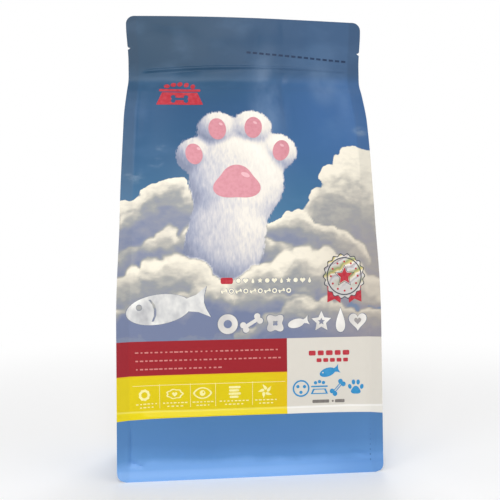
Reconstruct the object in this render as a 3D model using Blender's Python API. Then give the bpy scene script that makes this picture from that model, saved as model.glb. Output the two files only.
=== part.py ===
"""A filled, sealed pet food bag: a flat-bottom film pouch with a heat-sealed fin on every edge.

The pouch is folded and welded from one web of film, and it is packed full, so it is one body.
Its skin is a loft through horizontal rings. Each ring runs round the front panel, a fin,
a folded side gusset, the back panel and the other gusset, so that the panels belly out and
the gussets fold flat towards the header. Metres, +Z up, the front panel faces -Y and
the origin is under the middle of the base.
"""
import math

import bmesh
import bpy

# Sizes of the flat pouch
PANEL_WIDTH = 0.200
BAG_HEIGHT = 0.360
GUSSET_WIDTH = 0.074
FIN_WIDTH = 0.010
FIN_THICKNESS = 0.0007
SKIRT_HEIGHT = 0.008
TOP_CORNER_RADIUS = 0.0065
BOTTOM_CORNER_RADIUS = 0.007

# How it stands when it is full
SKIRT_SPLAY = 0.003
FOLD_START = 0.150
FOLD_END = 0.312
FOLD_ONSET = 0.070
FOLD_CURVE = 1.6
FOLD_SHARPNESS = 1.15
GUSSET_PUFF = 0.003
HEADER_HALF_THICKNESS = 0.0010
RIM_HALF_THICKNESS = 0.0006
RIM_TAPER = 0.030
TOP_LEAN = 0.0008
TOP_LEAN_SPAN = (0.200, 0.280)
HEADER_BOW = 0.004
HEADER_BOW_SPAN = (0.230, 0.330)
HEADER_BOW_SHIFT = 0.025

# How far the panels belly out, and the heights between which they do
BELLY_SHAPE = 2.4
BELLY_LOW = 0.008
BELLY_LOW_SPAN = (SKIRT_HEIGHT, 0.060)
BELLY_HIGH = 0.012
BELLY_HIGH_SPAN = (0.080, 0.190)
BELLY_FADE_SPAN = (0.225, FOLD_END)

# The share of the width that the belly, the neck and the header pull in
SIDE_PULL_IN = 0.024
SIDE_PULL_SPAN = (0.115, 0.195)
NECK_PULL_IN = 0.048
NECK_PULL_SPAN = (0.272, 0.312)
HEADER_PULL_IN = 0.029
HEADER_PULL_SPAN = (0.322, 0.354)

# The zip strip and the tear notches in the header
ZIP_HEIGHT = 0.3185
ZIP_HALF_WIDTH = 0.0016
ZIP_PROUD = 0.0008
ZIP_END_SHARE = 0.08
NOTCH_HEIGHT = 0.3335
NOTCH_HALF_HEIGHT = 0.0014
NOTCH_DEPTH = 0.0024

# The fold across each panel low down, which is steep below and runs out softly above
LOW_CREASE_HEIGHT = 0.0505
LOW_CREASE_DEPTH = 0.0014
LOW_CREASE_BELOW = 0.0036
LOW_CREASE_ABOVE = 0.0130
BACK_CREASE_RISE = 0.0120

# The creases that run down from the zip, each as its x, how wide it is and how far it stands out
CREASE_TOP = 0.312
CREASE_LENGTH = 0.075
CREASE_FADE_IN = 0.010
CREASE_END_SHARE = 0.25
FRONT_CREASES = ((0.018, 0.009, 0.0018), (0.034, 0.010, -0.0022), (-0.050, 0.016, -0.0015))
BACK_CREASES = ((-0.022, 0.012, -0.0020), (0.046, 0.014, -0.0012))

# The fields of colour on the front panel
BLUE_FIELD_TOP = 0.047
YELLOW_FIELD_TOP = 0.078
RED_FIELD_TOP = 0.103
WHITE_FIELD_EDGE = 0.0257
FRONT_FACING = -0.5

# Fineness of the loft
PANEL_COLUMNS = 22
GUSSET_COLUMNS = 8
ARC_STEPS = 4
FOOT_ROWS = (0.0095, 0.013, 0.019, 0.027, 0.035, 0.042)
CREASE_ROWS = (0.0545, 0.059, 0.065, 0.0715)
RED_FIELD_ROW = 0.0905
ZIP_ROWS = (-1.0, -0.5, 0.0, 0.5, 1.0)
NOTCH_ROWS = (-1.0, 0.0, 1.0)
ABOVE_ZIP = 0.326
ABOVE_NOTCH = 0.344
BODY_ROW_SPACING = 0.0095
BASE_FLAT_SHARE = 0.72
BASE_LOOPS = (0.95, 0.87, 0.79, BASE_FLAT_SHARE)

FIELD_COLOURS = {
    "sky_blue_film": (0.084, 0.176, 0.314),
    "base_blue_film": (0.100, 0.238, 0.479),
    "yellow_film": (0.708, 0.584, 0.021),
    "red_film": (0.371, 0.028, 0.033),
    "white_film": (0.723, 0.679, 0.597),
}
FILM_ROUGHNESS = 0.42
SHARP_ANGLE = math.radians(40.0)


def smooth_step(low, high, value):
    """Rise from 0 at low to 1 at high, level at both ends."""
    share = min(max((value - low) / (high - low), 0.0), 1.0)
    return share * share * (3.0 - 2.0 * share)


def bump(centre, spread, value):
    """A soft hump of height 1 at the centre."""
    return math.exp(-((value - centre) / spread) ** 2)


def root_half_depth(height):
    """Half the distance between the front and back fins, which close up over the fold."""
    share = min(max((height - FOLD_START) / (FOLD_END - FOLD_START), 0.0), 1.0)
    open_share = 1.0 - share ** FOLD_CURVE
    closed = HEADER_HALF_THICKNESS - FIN_THICKNESS
    root = closed + (GUSSET_WIDTH / 2.0 - closed) * open_share
    rim = smooth_step(BAG_HEIGHT - RIM_TAPER, BAG_HEIGHT, height)
    return root + FIN_THICKNESS - rim * (HEADER_HALF_THICKNESS - RIM_HALF_THICKNESS)


def width_share(height):
    """How much of the flat width is left when the belly and the fold pull the edges in."""
    pull = SIDE_PULL_IN * smooth_step(*SIDE_PULL_SPAN, height)
    pull += (NECK_PULL_IN - SIDE_PULL_IN) * smooth_step(*NECK_PULL_SPAN, height)
    pull -= (NECK_PULL_IN - HEADER_PULL_IN) * smooth_step(*HEADER_PULL_SPAN, height)
    return 1.0 - pull


def tip_half_width(height):
    """Half width to the fin tips, with the rounded corners and the tear notches cut out."""
    half = PANEL_WIDTH / 2.0 * width_share(height)
    if height < BOTTOM_CORNER_RADIUS:
        rise = BOTTOM_CORNER_RADIUS - height
        half -= BOTTOM_CORNER_RADIUS - math.sqrt(BOTTOM_CORNER_RADIUS ** 2 - rise ** 2)
    if height > BAG_HEIGHT - TOP_CORNER_RADIUS:
        rise = min(height - (BAG_HEIGHT - TOP_CORNER_RADIUS), TOP_CORNER_RADIUS)
        half -= TOP_CORNER_RADIUS - math.sqrt(TOP_CORNER_RADIUS ** 2 - rise ** 2)
    notch = max(0.0, 1.0 - abs(height - NOTCH_HEIGHT) / NOTCH_HALF_HEIGHT)
    return half - NOTCH_DEPTH * notch


def root_half_width(height):
    """Half width between the fin roots, where the belly begins."""
    return PANEL_WIDTH / 2.0 * width_share(height) - FIN_WIDTH


def belly(height):
    """How far the middle of a panel stands out from its fin roots."""
    low = BELLY_LOW * smooth_step(*BELLY_LOW_SPAN, height)
    high = (BELLY_HIGH - BELLY_LOW) * smooth_step(*BELLY_HIGH_SPAN, height)
    return (low + high) * (1.0 - smooth_step(*BELLY_FADE_SPAN, height))


def zip_ridge(height):
    """The press-to-close strip, seen as a low rib through the film."""
    offset = abs(height - ZIP_HEIGHT) / ZIP_HALF_WIDTH
    return ZIP_PROUD * max(0.0, 1.0 - offset ** 2)


def low_crease(height, centre):
    """The fold across a panel where the filled part stands back behind the foot."""
    spread = LOW_CREASE_ABOVE if height > centre else LOW_CREASE_BELOW
    return -LOW_CREASE_DEPTH * bump(centre, spread, height)


def zip_creases(x, height, folds):
    """The soft folds that run down a panel from the zip and die away."""
    fade = 1.0 - smooth_step(0.0, CREASE_LENGTH, CREASE_TOP - height)
    fade *= smooth_step(0.0, CREASE_FADE_IN, ZIP_HEIGHT - height)
    return fade * sum(proud * bump(centre, spread, x) for centre, spread, proud in folds)


def creases(x, height, side):
    """How far the folds of the front (side -1) or back (side 1) panel stand out."""
    if side < 0:
        return low_crease(height, LOW_CREASE_HEIGHT) + zip_creases(x, height, FRONT_CREASES)
    low = low_crease(height, LOW_CREASE_HEIGHT + BACK_CREASE_RISE)
    return low + zip_creases(x, height, BACK_CREASES)


def placed(x, y, height):
    """A point of the standing bag, whose header bows to the front and leans to the right."""
    bow = HEADER_BOW * smooth_step(*HEADER_BOW_SPAN, height)
    lean = TOP_LEAN * smooth_step(*TOP_LEAN_SPAN, height)
    arch = math.cos(math.pi * (x + HEADER_BOW_SHIFT) / PANEL_WIDTH)
    return (x + lean, y - bow * arch, height)


def panel_depth(x, height, side):
    """Distance of a panel's outer face from the plane through the fin roots' middle."""
    root = root_half_width(height)
    across = min(abs(x) / root, 1.0)
    shape = 1.0 - across ** BELLY_SHAPE
    inside = smooth_step(0.0, CREASE_END_SHARE, 1.0 - across)
    depth = root_half_depth(height) + belly(height) * shape
    depth += creases(x, height, side) * inside
    depth += zip_ridge(height) * smooth_step(0.0, ZIP_END_SHARE, 1.0 - across)
    return depth + SKIRT_SPLAY * (1.0 - smooth_step(0.0, SKIRT_HEIGHT, height))


def panel_point(x, height, side, inset=0.0):
    """A point on the front (side -1) or back (side 1) panel, set in by the film of a fin."""
    return placed(x, side * (panel_depth(x, height, side) - inset), height)


def panel_stations(height):
    """The x of every column of a panel, from the left fin tip to the right one."""
    tip = tip_half_width(height)
    root = root_half_width(height)
    inner = root - FIN_THICKNESS
    middle = [inner * (2.0 * i / PANEL_COLUMNS - 1.0) for i in range(PANEL_COLUMNS + 1)]
    fin = [root, 0.5 * (root + tip), tip]
    return [-x for x in reversed(fin)] + middle + fin


def gusset_points(height, hand):
    """The folded gusset from the front fin root to the back one, without its two ends."""
    root_x = root_half_width(height)
    half = root_half_depth(height) - FIN_THICKNESS
    skirt = SKIRT_SPLAY * (1.0 - smooth_step(0.0, SKIRT_HEIGHT, height))
    full = GUSSET_WIDTH / 2.0
    fold_onset = smooth_step(FOLD_START, FOLD_START + FOLD_ONSET, height)
    crease = math.sqrt(max(full ** 2 - half ** 2, 0.0)) * fold_onset
    puff = GUSSET_PUFF * smooth_step(*BELLY_LOW_SPAN, height) * (1.0 - crease / full)
    points = []
    for i in range(1, GUSSET_COLUMNS):
        share = 2.0 * i / GUSSET_COLUMNS - 1.0
        fold = crease * (1.0 - abs(share) ** FOLD_SHARPNESS)
        swell = puff * (1.0 - share * share)
        x = hand * (root_x - fold + swell)
        points.append(placed(x, share * (half + skirt), height))
    return points


def fin_inner_points(height, hand, side):
    """The inner face of a fin, from its tip to its root."""
    tip = tip_half_width(height)
    root = root_half_width(height)
    stations = (tip, 0.5 * (root + tip), root)
    return [panel_point(hand * x, height, side, FIN_THICKNESS) for x in stations]


def gusset_side(height, hand):
    """One side of the ring, from the front fin's tip round the gusset to the back fin's tip."""
    front = fin_inner_points(height, hand, -1)
    back = list(reversed(fin_inner_points(height, hand, 1)))
    return front + gusset_points(height, hand) + back


def body_ring(height):
    """A ring below the header, anticlockwise from above, with both gusset slots."""
    stations = panel_stations(height)
    front = [panel_point(x, height, -1) for x in stations]
    back = [panel_point(x, height, 1) for x in reversed(stations)]
    right = gusset_side(height, 1)
    left = list(reversed(gusset_side(height, -1)))
    return front + right + back + left


def header_ring(height):
    """A ring of the flat header, whose sides are the bare edge of the welded film."""
    stations = panel_stations(height)
    front = [panel_point(x, height, -1) for x in stations]
    back = [panel_point(x, height, 1) for x in reversed(stations)]
    return front + back


def lining_outline(root, depth):
    """The corners and columns of the space inside the skirts, anticlockwise from above."""
    xs = [root * (2.0 * i / PANEL_COLUMNS - 1.0) for i in range(PANEL_COLUMNS + 1)]
    ys = [depth * (2.0 * i / GUSSET_COLUMNS - 1.0) for i in range(1, GUSSET_COLUMNS)]
    front = [(x, -depth) for x in xs]
    right = [(root, y) for y in ys]
    back = [(x, depth) for x in reversed(xs)]
    left = [(-root, y) for y in reversed(ys)]
    return front + right + back + left


def skirt_inner_loop(height):
    """The inner face of the skirts that hang below the base panel."""
    root = root_half_width(height) - FIN_THICKNESS
    depth = root_half_depth(height) - FIN_THICKNESS
    depth += SKIRT_SPLAY * (1.0 - smooth_step(0.0, SKIRT_HEIGHT, height))
    return [(x, y, height) for x, y in lining_outline(root, depth)]


def base_loop(share):
    """A loop of the base panel, shrunk from the foot of the skirts and sagging to the floor."""
    root = root_half_width(SKIRT_HEIGHT) - FIN_THICKNESS
    depth = root_half_depth(SKIRT_HEIGHT) - FIN_THICKNESS
    height = (SKIRT_HEIGHT - FIN_THICKNESS) * smooth_step(BASE_FLAT_SHARE, 1.0, share)
    return [(x * share, y * share, height) for x, y in lining_outline(root, depth)]


def arc_heights(radius):
    """Heights along a quarter circle, from its level end to its upright end."""
    return [radius * (1.0 - math.cos(0.5 * math.pi * i / ARC_STEPS)) for i in range(ARC_STEPS + 1)]


def body_heights():
    """The heights of the rings from the floor to the top of the folded gussets."""
    heights = sorted(BOTTOM_CORNER_RADIUS - h for h in arc_heights(BOTTOM_CORNER_RADIUS))
    heights += [*FOOT_ROWS, BLUE_FIELD_TOP, LOW_CREASE_HEIGHT]
    heights += [*CREASE_ROWS, YELLOW_FIELD_TOP, RED_FIELD_ROW]
    rows = round((FOLD_END - RED_FIELD_TOP) / BODY_ROW_SPACING)
    step = (FOLD_END - RED_FIELD_TOP) / rows
    heights += [RED_FIELD_TOP + step * i for i in range(rows + 1)]
    return heights


def header_heights():
    """The heights of the header's rings, past the zip and the notches to the rounded top."""
    zip_rows = [ZIP_HEIGHT + ZIP_HALF_WIDTH * k for k in ZIP_ROWS]
    notch_rows = [NOTCH_HEIGHT + NOTCH_HALF_HEIGHT * k for k in NOTCH_ROWS]
    top = sorted(BAG_HEIGHT - h for h in arc_heights(TOP_CORNER_RADIUS))
    return zip_rows + [ABOVE_ZIP] + notch_rows + [ABOVE_NOTCH] + top


def bridge(mesh, lower, upper):
    """Walls between two rings of equal length."""
    count = len(lower)
    for i in range(count):
        j = (i + 1) % count
        mesh.faces.new((lower[i], lower[j], upper[j], upper[i]))


def split_ring(ring):
    """The front panel, right side, back panel and left side of a body ring."""
    panel = PANEL_COLUMNS + 7
    side = GUSSET_COLUMNS + 5
    front = ring[:panel]
    right = ring[panel:panel + side]
    back = ring[panel + side:2 * panel + side]
    left = ring[2 * panel + side:]
    return front, right, back, left


def close_slots(mesh, body_top, header_foot):
    """Join the open gussets to the flat header: panel to panel, and a web over each slot."""
    front, right, back, left = split_ring(body_top)
    panel = len(front)
    for low, high in ((front, header_foot[:panel]), (back, header_foot[panel:])):
        for i in range(panel - 1):
            mesh.faces.new((low[i], low[i + 1], high[i + 1], high[i]))
    right_end = (front[-1], right[0], right[-1], back[0])
    mesh.faces.new(right_end + (header_foot[panel], header_foot[panel - 1]))
    left_end = (back[-1], left[0], left[-1], front[0])
    mesh.faces.new(left_end + (header_foot[0], header_foot[-1]))
    mesh.faces.new(right)
    mesh.faces.new(left)


def close_base(mesh, floor_ring):
    """The skirts' lower edges, their inner faces and the sagging base panel."""
    loops = [skirt_inner_loop(0.0), skirt_inner_loop(SKIRT_HEIGHT / 2.0)]
    loops += [base_loop(share) for share in BASE_LOOPS]
    rings = [[mesh.verts.new(point) for point in loop] for loop in loops]
    close_skirt_edge(mesh, floor_ring, rings[0])
    for outer, inner in zip(rings, rings[1:]):
        bridge(mesh, inner, outer)
    mesh.faces.new(list(reversed(rings[-1])))


def close_skirt_edge(mesh, outer, inner):
    """The thin lower edge of the skirts and fins, from their outer faces to their lining."""
    front, right, back, left = split_ring(outer)
    span = PANEL_COLUMNS + 1
    inner_front = inner[:span]
    inner_right = inner[span - 1:span + GUSSET_COLUMNS]
    inner_back = inner[span + GUSSET_COLUMNS - 1:2 * span + GUSSET_COLUMNS - 1]
    inner_left = inner[2 * span + GUSSET_COLUMNS - 2:] + [inner[0]]
    strips = [(front[3:-3], inner_front), (back[3:-3], inner_back)]
    strips += [(right[2:-2], inner_right), (left[2:-2], inner_left)]
    strips += [(front[-4:], [inner_right[0]] + right[2::-1])]
    strips += [(back[:4], right[:-4:-1] + [inner_back[0]])]
    strips += [(back[-4:], [inner_left[0]] + left[2::-1])]
    strips += [(front[:4], left[:-4:-1] + [inner_front[0]])]
    for edge, lining in strips:
        for i in range(len(edge) - 1):
            mesh.faces.new((edge[i + 1], edge[i], lining[i], lining[i + 1]))


def paint_fields(mesh):
    """Give each face the material of its field of colour; only the front has the bands."""
    names = list(FIELD_COLOURS)
    mesh.normal_update()
    for face in mesh.faces:
        centre = face.calc_center_median()
        if centre.z < BLUE_FIELD_TOP:
            name = "base_blue_film"
        elif face.normal.y > FRONT_FACING or centre.z > RED_FIELD_TOP:
            name = "sky_blue_film"
        elif centre.x > WHITE_FIELD_EDGE:
            name = "white_film"
        elif centre.z < YELLOW_FIELD_TOP:
            name = "yellow_film"
        else:
            name = "red_film"
        face.material_index = names.index(name)


def film_material(name, colour):
    """Matt laminated film in one printed colour."""
    material = bpy.data.materials.new(name)
    material.use_nodes = True
    shader = material.node_tree.nodes["Principled BSDF"]
    shader.inputs["Base Color"].default_value = (*colour, 1.0)
    shader.inputs["Roughness"].default_value = FILM_ROUGHNESS
    shader.inputs["Metallic"].default_value = 0.0
    return material


def build_bag():
    """Loft the bag through its rings and close it at the gusset slots, the top and the base."""
    mesh = bmesh.new()
    body = [[mesh.verts.new(p) for p in body_ring(h)] for h in body_heights()]
    header = [[mesh.verts.new(p) for p in header_ring(h)] for h in header_heights()]
    for lower, upper in zip(body, body[1:]):
        bridge(mesh, lower, upper)
    close_slots(mesh, body[-1], header[0])
    for lower, upper in zip(header, header[1:]):
        bridge(mesh, lower, upper)
    mesh.faces.new(header[-1])
    close_base(mesh, body[0])
    paint_fields(mesh)
    data = bpy.data.meshes.new("food_bag")
    mesh.to_mesh(data)
    mesh.free()
    return data


def clear_scene():
    """Start from an empty scene."""
    for thing in list(bpy.data.objects):
        bpy.data.objects.remove(thing)


def main():
    clear_scene()
    collection = bpy.data.collections.new("pet_food_bag")
    bpy.context.scene.collection.children.link(collection)
    data = build_bag()
    for name, colour in FIELD_COLOURS.items():
        data.materials.append(film_material(name, colour))
    data.shade_smooth()
    data.set_sharp_from_angle(angle=SHARP_ANGLE)
    bag = bpy.data.objects.new("food_bag", data)
    collection.objects.link(bag)


main()
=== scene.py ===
# %% [markdown]
# The subject is a filled, sealed pouch for dry pet food. It stands on a flat bottom, its sides are
# folded gussets, and every edge is a heat-sealed fin of matt laminate film. This lesson dresses the
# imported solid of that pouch. The solid is loaded first and stays where it is, and every visible
# piece is then made round it, in metres, with +Z up and the front panel facing -Y.

import math

import bpy
import numpy as np
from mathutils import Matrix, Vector
from mathutils.geometry import delaunay_2d_cdt


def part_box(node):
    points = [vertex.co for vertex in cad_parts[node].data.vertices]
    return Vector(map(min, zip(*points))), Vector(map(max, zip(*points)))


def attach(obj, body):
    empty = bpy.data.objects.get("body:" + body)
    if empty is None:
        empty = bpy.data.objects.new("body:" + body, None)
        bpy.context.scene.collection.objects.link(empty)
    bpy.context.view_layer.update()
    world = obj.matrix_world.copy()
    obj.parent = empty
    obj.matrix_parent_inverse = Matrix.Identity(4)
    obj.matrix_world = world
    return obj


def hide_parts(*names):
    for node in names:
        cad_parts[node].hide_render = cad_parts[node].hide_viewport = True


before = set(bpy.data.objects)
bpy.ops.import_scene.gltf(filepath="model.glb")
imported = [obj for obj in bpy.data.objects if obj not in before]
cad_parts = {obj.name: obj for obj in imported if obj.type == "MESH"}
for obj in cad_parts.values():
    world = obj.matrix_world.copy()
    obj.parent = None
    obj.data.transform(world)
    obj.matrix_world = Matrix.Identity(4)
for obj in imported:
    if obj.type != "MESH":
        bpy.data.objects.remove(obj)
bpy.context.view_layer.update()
MM = 0.001

# %% [markdown]
# Colours are easiest to write as the hex values that a designer reads off a swatch. Blender mixes
# light in linear values, so one function turns the first into the second. Shader trees and geometry
# trees are built by one helper too: it adds a node of any kind, sets what it is told and links the
# rest. The kinds that come back often have short names. Their inputs are told by number: a mix of
# colours takes its share in 0 and the two colours in 6 and 7, and a range maps what lies from 1 to 2
# to what lies from 3 to 4.

# %% Helpers for colours and nodes
MATH, VECTOR, RANGE = "ShaderNodeMath", "ShaderNodeVectorMath", "ShaderNodeMapRange"
MIX, RAMP, NOISE = "ShaderNodeMix", "ShaderNodeValToRGB", "ShaderNodeTexNoise"


def colour(code):
    """A hex colour such as "#5585b7" as the linear colour that a node wants."""
    shares = [int(code[i:i + 2], 16) / 255.0 for i in (1, 3, 5)]
    linear = [s / 12.92 if s <= 0.04045 else ((s + 0.055) / 1.055) ** 2.4 for s in shares]
    return (*linear, 1.0)


def node(tree, kind, inputs=None, out=None, stops=(), **settings):
    """Add a node with its settings and links. Gives one output if out names it, or else the node."""
    made = tree.nodes.new(kind)
    for name, value in settings.items():
        setattr(made, name, value)
    for k, (place, code) in enumerate(stops):
        stop = made.color_ramp.elements[k] if k < 2 else made.color_ramp.elements.new(place)
        stop.position, stop.color = place, colour(code)
    for key, value in (inputs or {}).items():
        if isinstance(value, bpy.types.NodeSocket):
            tree.links.new(value, made.inputs[key])
        else:
            made.inputs[key].default_value = value
    return made if out is None else made.outputs[out]


print("sky blue in linear values", [round(c, 3) for c in colour("#547598")])

# %% [markdown]
# The camera comes first, because everything else is judged through it. The photograph was taken
# from close by, a little left of the middle and level with the pouch's waist, which spreads the foot
# and narrows the header. The same distance and lens give the same spread.

# %% Camera
SENSOR, LENS = 36.0, 39.09
CAMERA_PLACE = (-0.0336, -0.4453, 0.1621)
CAMERA_TURN = (90.94, 0.62, -4.65)
camera_data = bpy.data.cameras.new("camera")
camera_data.sensor_width = SENSOR
camera_data.lens = LENS
camera = bpy.data.objects.new("camera", camera_data)
camera.location = CAMERA_PLACE
camera.rotation_euler = [math.radians(turn) for turn in CAMERA_TURN]
bpy.context.scene.collection.objects.link(camera)
bpy.context.scene.camera = camera
print("camera lens", round(camera_data.lens, 2), "mm")

# %% [markdown]
# A product shot stands on a pale floor in soft light. A wide key lamp above the camera lights the
# faces that turn up, two lamps open the sides, the left one stronger so that upright folds show, and
# the world fills the rest, so that a colour renders about as it is written. The camera sees a white
# world, and so do the film's gloss and the foil. The floor carries the pouch's soft shadow and fades
# to the same white further out.

# %% Light and floor
def area_lamp(name, place, target, size, power):
    """A soft square lamp that faces a target."""
    data = bpy.data.lights.new(name, "AREA")
    data.shape = "SQUARE"
    data.size = size
    data.energy = power
    lamp = bpy.data.objects.new(name, data)
    lamp.location = place
    lamp.rotation_euler = (Vector(target) - Vector(place)).to_track_quat("-Z", "Y").to_euler()
    bpy.context.scene.collection.objects.link(lamp)


def studio_world(fill):
    """White where the camera or a reflection looks, and a weaker even fill for the surfaces."""
    world = bpy.data.worlds.new("studio_world")
    bpy.context.scene.world = world
    world.use_nodes = True
    tree = world.node_tree
    tree.nodes.clear()
    path = node(tree, "ShaderNodeLightPath").outputs
    dim = node(tree, "ShaderNodeBackground", {"Color": colour("#ffffff"), "Strength": fill}, 0)
    white = node(tree, "ShaderNodeBackground", {"Color": colour("#ffffff"), "Strength": 1.0}, 0)
    seen = node(tree, MATH, {0: path["Is Camera Ray"], 1: path["Is Glossy Ray"]}, 0, operation="MAXIMUM")
    mixed = node(tree, "ShaderNodeMixShader", {0: seen, 1: dim, 2: white}, 0)
    node(tree, "ShaderNodeOutputWorld", {"Surface": mixed})


def pale_floor(size, near, far):
    """A floor that takes the shadow near the object and turns to plain white further out."""
    bpy.ops.mesh.primitive_plane_add(size=size, location=(0.0, 0.0, 0.0))
    floor = bpy.context.active_object
    floor.name = "floor"
    material = bpy.data.materials.new("painted_studio_floor")
    material.use_nodes = True
    tree = material.node_tree
    tree.nodes.clear()
    place = node(tree, "ShaderNodeTexCoord", out="Object")
    reach = node(tree, VECTOR, {0: place}, "Value", operation="LENGTH")
    fade = node(tree, RANGE, {0: reach, 1: near, 2: far}, 0, interpolation_type="SMOOTHSTEP")
    seen = node(tree, "ShaderNodeLightPath", out="Is Camera Ray")
    share = node(tree, MATH, {0: fade, 1: seen}, 0, operation="MULTIPLY")
    paint = node(tree, "ShaderNodeBsdfDiffuse", {"Color": colour("#ffffff")}, 0)
    glow = node(tree, "ShaderNodeEmission", {"Color": colour("#ffffff")}, 0)
    mixed = node(tree, "ShaderNodeMixShader", {0: share, 1: paint, 2: glow}, 0)
    node(tree, "ShaderNodeOutputMaterial", {"Surface": mixed})
    floor.data.materials.append(material)


bpy.context.scene.view_settings.view_transform = "Standard"
studio_world(fill=0.40)
middle = (0.0, 0.0, 0.17)
area_lamp("key_lamp", (-0.20, -1.35, 1.05), middle, 1.0, 13.0)
area_lamp("left_lamp", (-1.05, -0.80, 0.55), middle, 0.6, 3.6)
area_lamp("right_lamp", (1.20, -0.60, 0.60), middle, 0.9, 2.8)
area_lamp("back_lamp", (0.20, 1.20, 1.10), middle, 0.9, 9.0)
pale_floor(size=4.0, near=0.22, far=0.75)

# %% [markdown]
# The pouch's shape is a rule, not a list of points. Two welded panels stand a gusset's width apart
# at the foot and close up to nothing at the header, and what the edges lose in depth the gussets
# take up in a fold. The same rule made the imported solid, so the fine surface lies on it. Here it
# works on whole arrays at once, so that a hundred thousand points take no time.

# %% The rule of the pouch
solid_low, solid_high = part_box("food_bag")
PANEL_WIDTH = solid_high.x - solid_low.x
BAG_HEIGHT = solid_high.z - solid_low.z
GUSSET_WIDTH = 0.074
FIN_WIDTH = 0.010
FIN_THICKNESS = 0.0007
SKIRT_HEIGHT = 0.008
SKIRT_SPLAY = 0.003
TOP_CORNER_RADIUS = 0.0065
BOTTOM_CORNER_RADIUS = 0.007
FOLD_START = 0.150
FOLD_END = 0.312
FOLD_ONSET = 0.070
FOLD_CURVE = 1.6
NECK_ROUNDING = 0.0052
BELLY_LOW = 0.008
BELLY_HIGH = 0.012
LOW_BELLY_FULL = 0.060
HIGH_BELLY_SPAN = (0.080, 0.190)
BELLY_FADE = 0.225
HEADER_HALF_THICKNESS = 0.0010
RIM_HALF_THICKNESS = 0.0006
RIM_REACH = 0.030
HEADER_BOW = 0.004
BOW_MIDDLE = -0.025
BOW_SPAN = (0.230, 0.330)
GUSSET_PUFF = 0.003
SIDE_PULL_IN = 0.024
SIDE_PULL_SPAN = (0.115, 0.195)
NECK_PULL_IN = 0.048
NECK_PULL_SPAN = (0.272, 0.312)
HEADER_PULL_IN = 0.029
HEADER_PULL_SPAN = (0.322, 0.354)
TOP_LEAN = 0.0008
LEAN_SPAN = (0.200, 0.280)
ZIP_HEIGHT = 0.3195
ZIP_ARCH = 0.0055
ZIP_MIDDLE, ZIP_REACH = 0.025, 0.115
ZIP_HALF_WIDTH = 0.0016
ZIP_PROUD = 0.0006
FOOT_SEAM_HEIGHT = 0.0135
NOTCH_HEIGHT = 0.3335
NOTCH_HALF_HEIGHT = 0.0014
NOTCH_DEPTH = 0.0024


def smooth_step(low, high, value):
    """Rise from 0 at low to 1 at high, level at both ends."""
    share = np.clip((value - low) / (high - low), 0.0, 1.0)
    return share * share * (3.0 - 2.0 * share)


def bump(centre, spread, value):
    """A soft hump of height 1 at the centre."""
    return np.exp(-((value - centre) / spread) ** 2)


def root_half_depth(z):
    """Half the distance between the front and back fins, which close up over the fold."""
    share = np.clip((z - FOLD_START) / (FOLD_END - FOLD_START), 0.0, 1.0)
    closed = HEADER_HALF_THICKNESS - FIN_THICKNESS
    opening = (GUSSET_WIDTH / 2.0 - closed) * (1.0 - share ** FOLD_CURVE)
    root = closed + opening * smooth_step(0.0, NECK_ROUNDING, opening)
    rim = smooth_step(BAG_HEIGHT - RIM_REACH, BAG_HEIGHT, z)
    return root + FIN_THICKNESS - rim * (HEADER_HALF_THICKNESS - RIM_HALF_THICKNESS)


def width_share(z):
    """How much of the flat width is left when the belly and the fold pull the edges in."""
    pull = SIDE_PULL_IN * smooth_step(*SIDE_PULL_SPAN, z)
    pull = pull + (NECK_PULL_IN - SIDE_PULL_IN) * smooth_step(*NECK_PULL_SPAN, z)
    pull = pull - (NECK_PULL_IN - HEADER_PULL_IN) * smooth_step(*HEADER_PULL_SPAN, z)
    return 1.0 - pull


def root_half_width(z):
    """Half width between the fin roots, where the belly begins."""
    return PANEL_WIDTH / 2.0 * width_share(z) - FIN_WIDTH


def tip_half_width(z):
    """Half width to the fin tips, with the rounded corners and the tear notches cut out."""
    low_rise = np.clip(BOTTOM_CORNER_RADIUS - z, 0.0, BOTTOM_CORNER_RADIUS)
    top_rise = np.clip(z - (BAG_HEIGHT - TOP_CORNER_RADIUS), 0.0, TOP_CORNER_RADIUS)
    low_cut = BOTTOM_CORNER_RADIUS - np.sqrt(BOTTOM_CORNER_RADIUS ** 2 - low_rise ** 2)
    top_cut = TOP_CORNER_RADIUS - np.sqrt(TOP_CORNER_RADIUS ** 2 - top_rise ** 2)
    notch = np.maximum(0.0, 1.0 - np.abs(z - NOTCH_HEIGHT) / NOTCH_HALF_HEIGHT)
    return PANEL_WIDTH / 2.0 * width_share(z) - low_cut - top_cut - NOTCH_DEPTH * notch


def belly(z):
    """How far the middle of a panel stands out from its fin roots."""
    low = BELLY_LOW * smooth_step(SKIRT_HEIGHT, LOW_BELLY_FULL, z)
    high = (BELLY_HIGH - BELLY_LOW) * smooth_step(*HIGH_BELLY_SPAN, z)
    return (low + high) * (1.0 - smooth_step(BELLY_FADE, FOLD_END, z))


print("pouch", round(PANEL_WIDTH / MM), "mm wide and", round(BAG_HEIGHT / MM), "mm high")

# %% [markdown]
# Film is stiff along its surface and soft across it, so it doesn't stay smooth. It buckles into long
# shallow folds that run from a held point, such as the end of the zip, and kibble presses faint
# lumps through it. Each fold here is a line with a width and a depth that fades at both ends, and
# the lumps come from a smooth random lattice with a fixed seed. Beside the welds the film can't
# slide, so short sharp puckers run into the lower corners.

# %% Folds and lumps of the film
LATTICE_CELLS = 64
TAPER_POWER = 0.6


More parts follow.
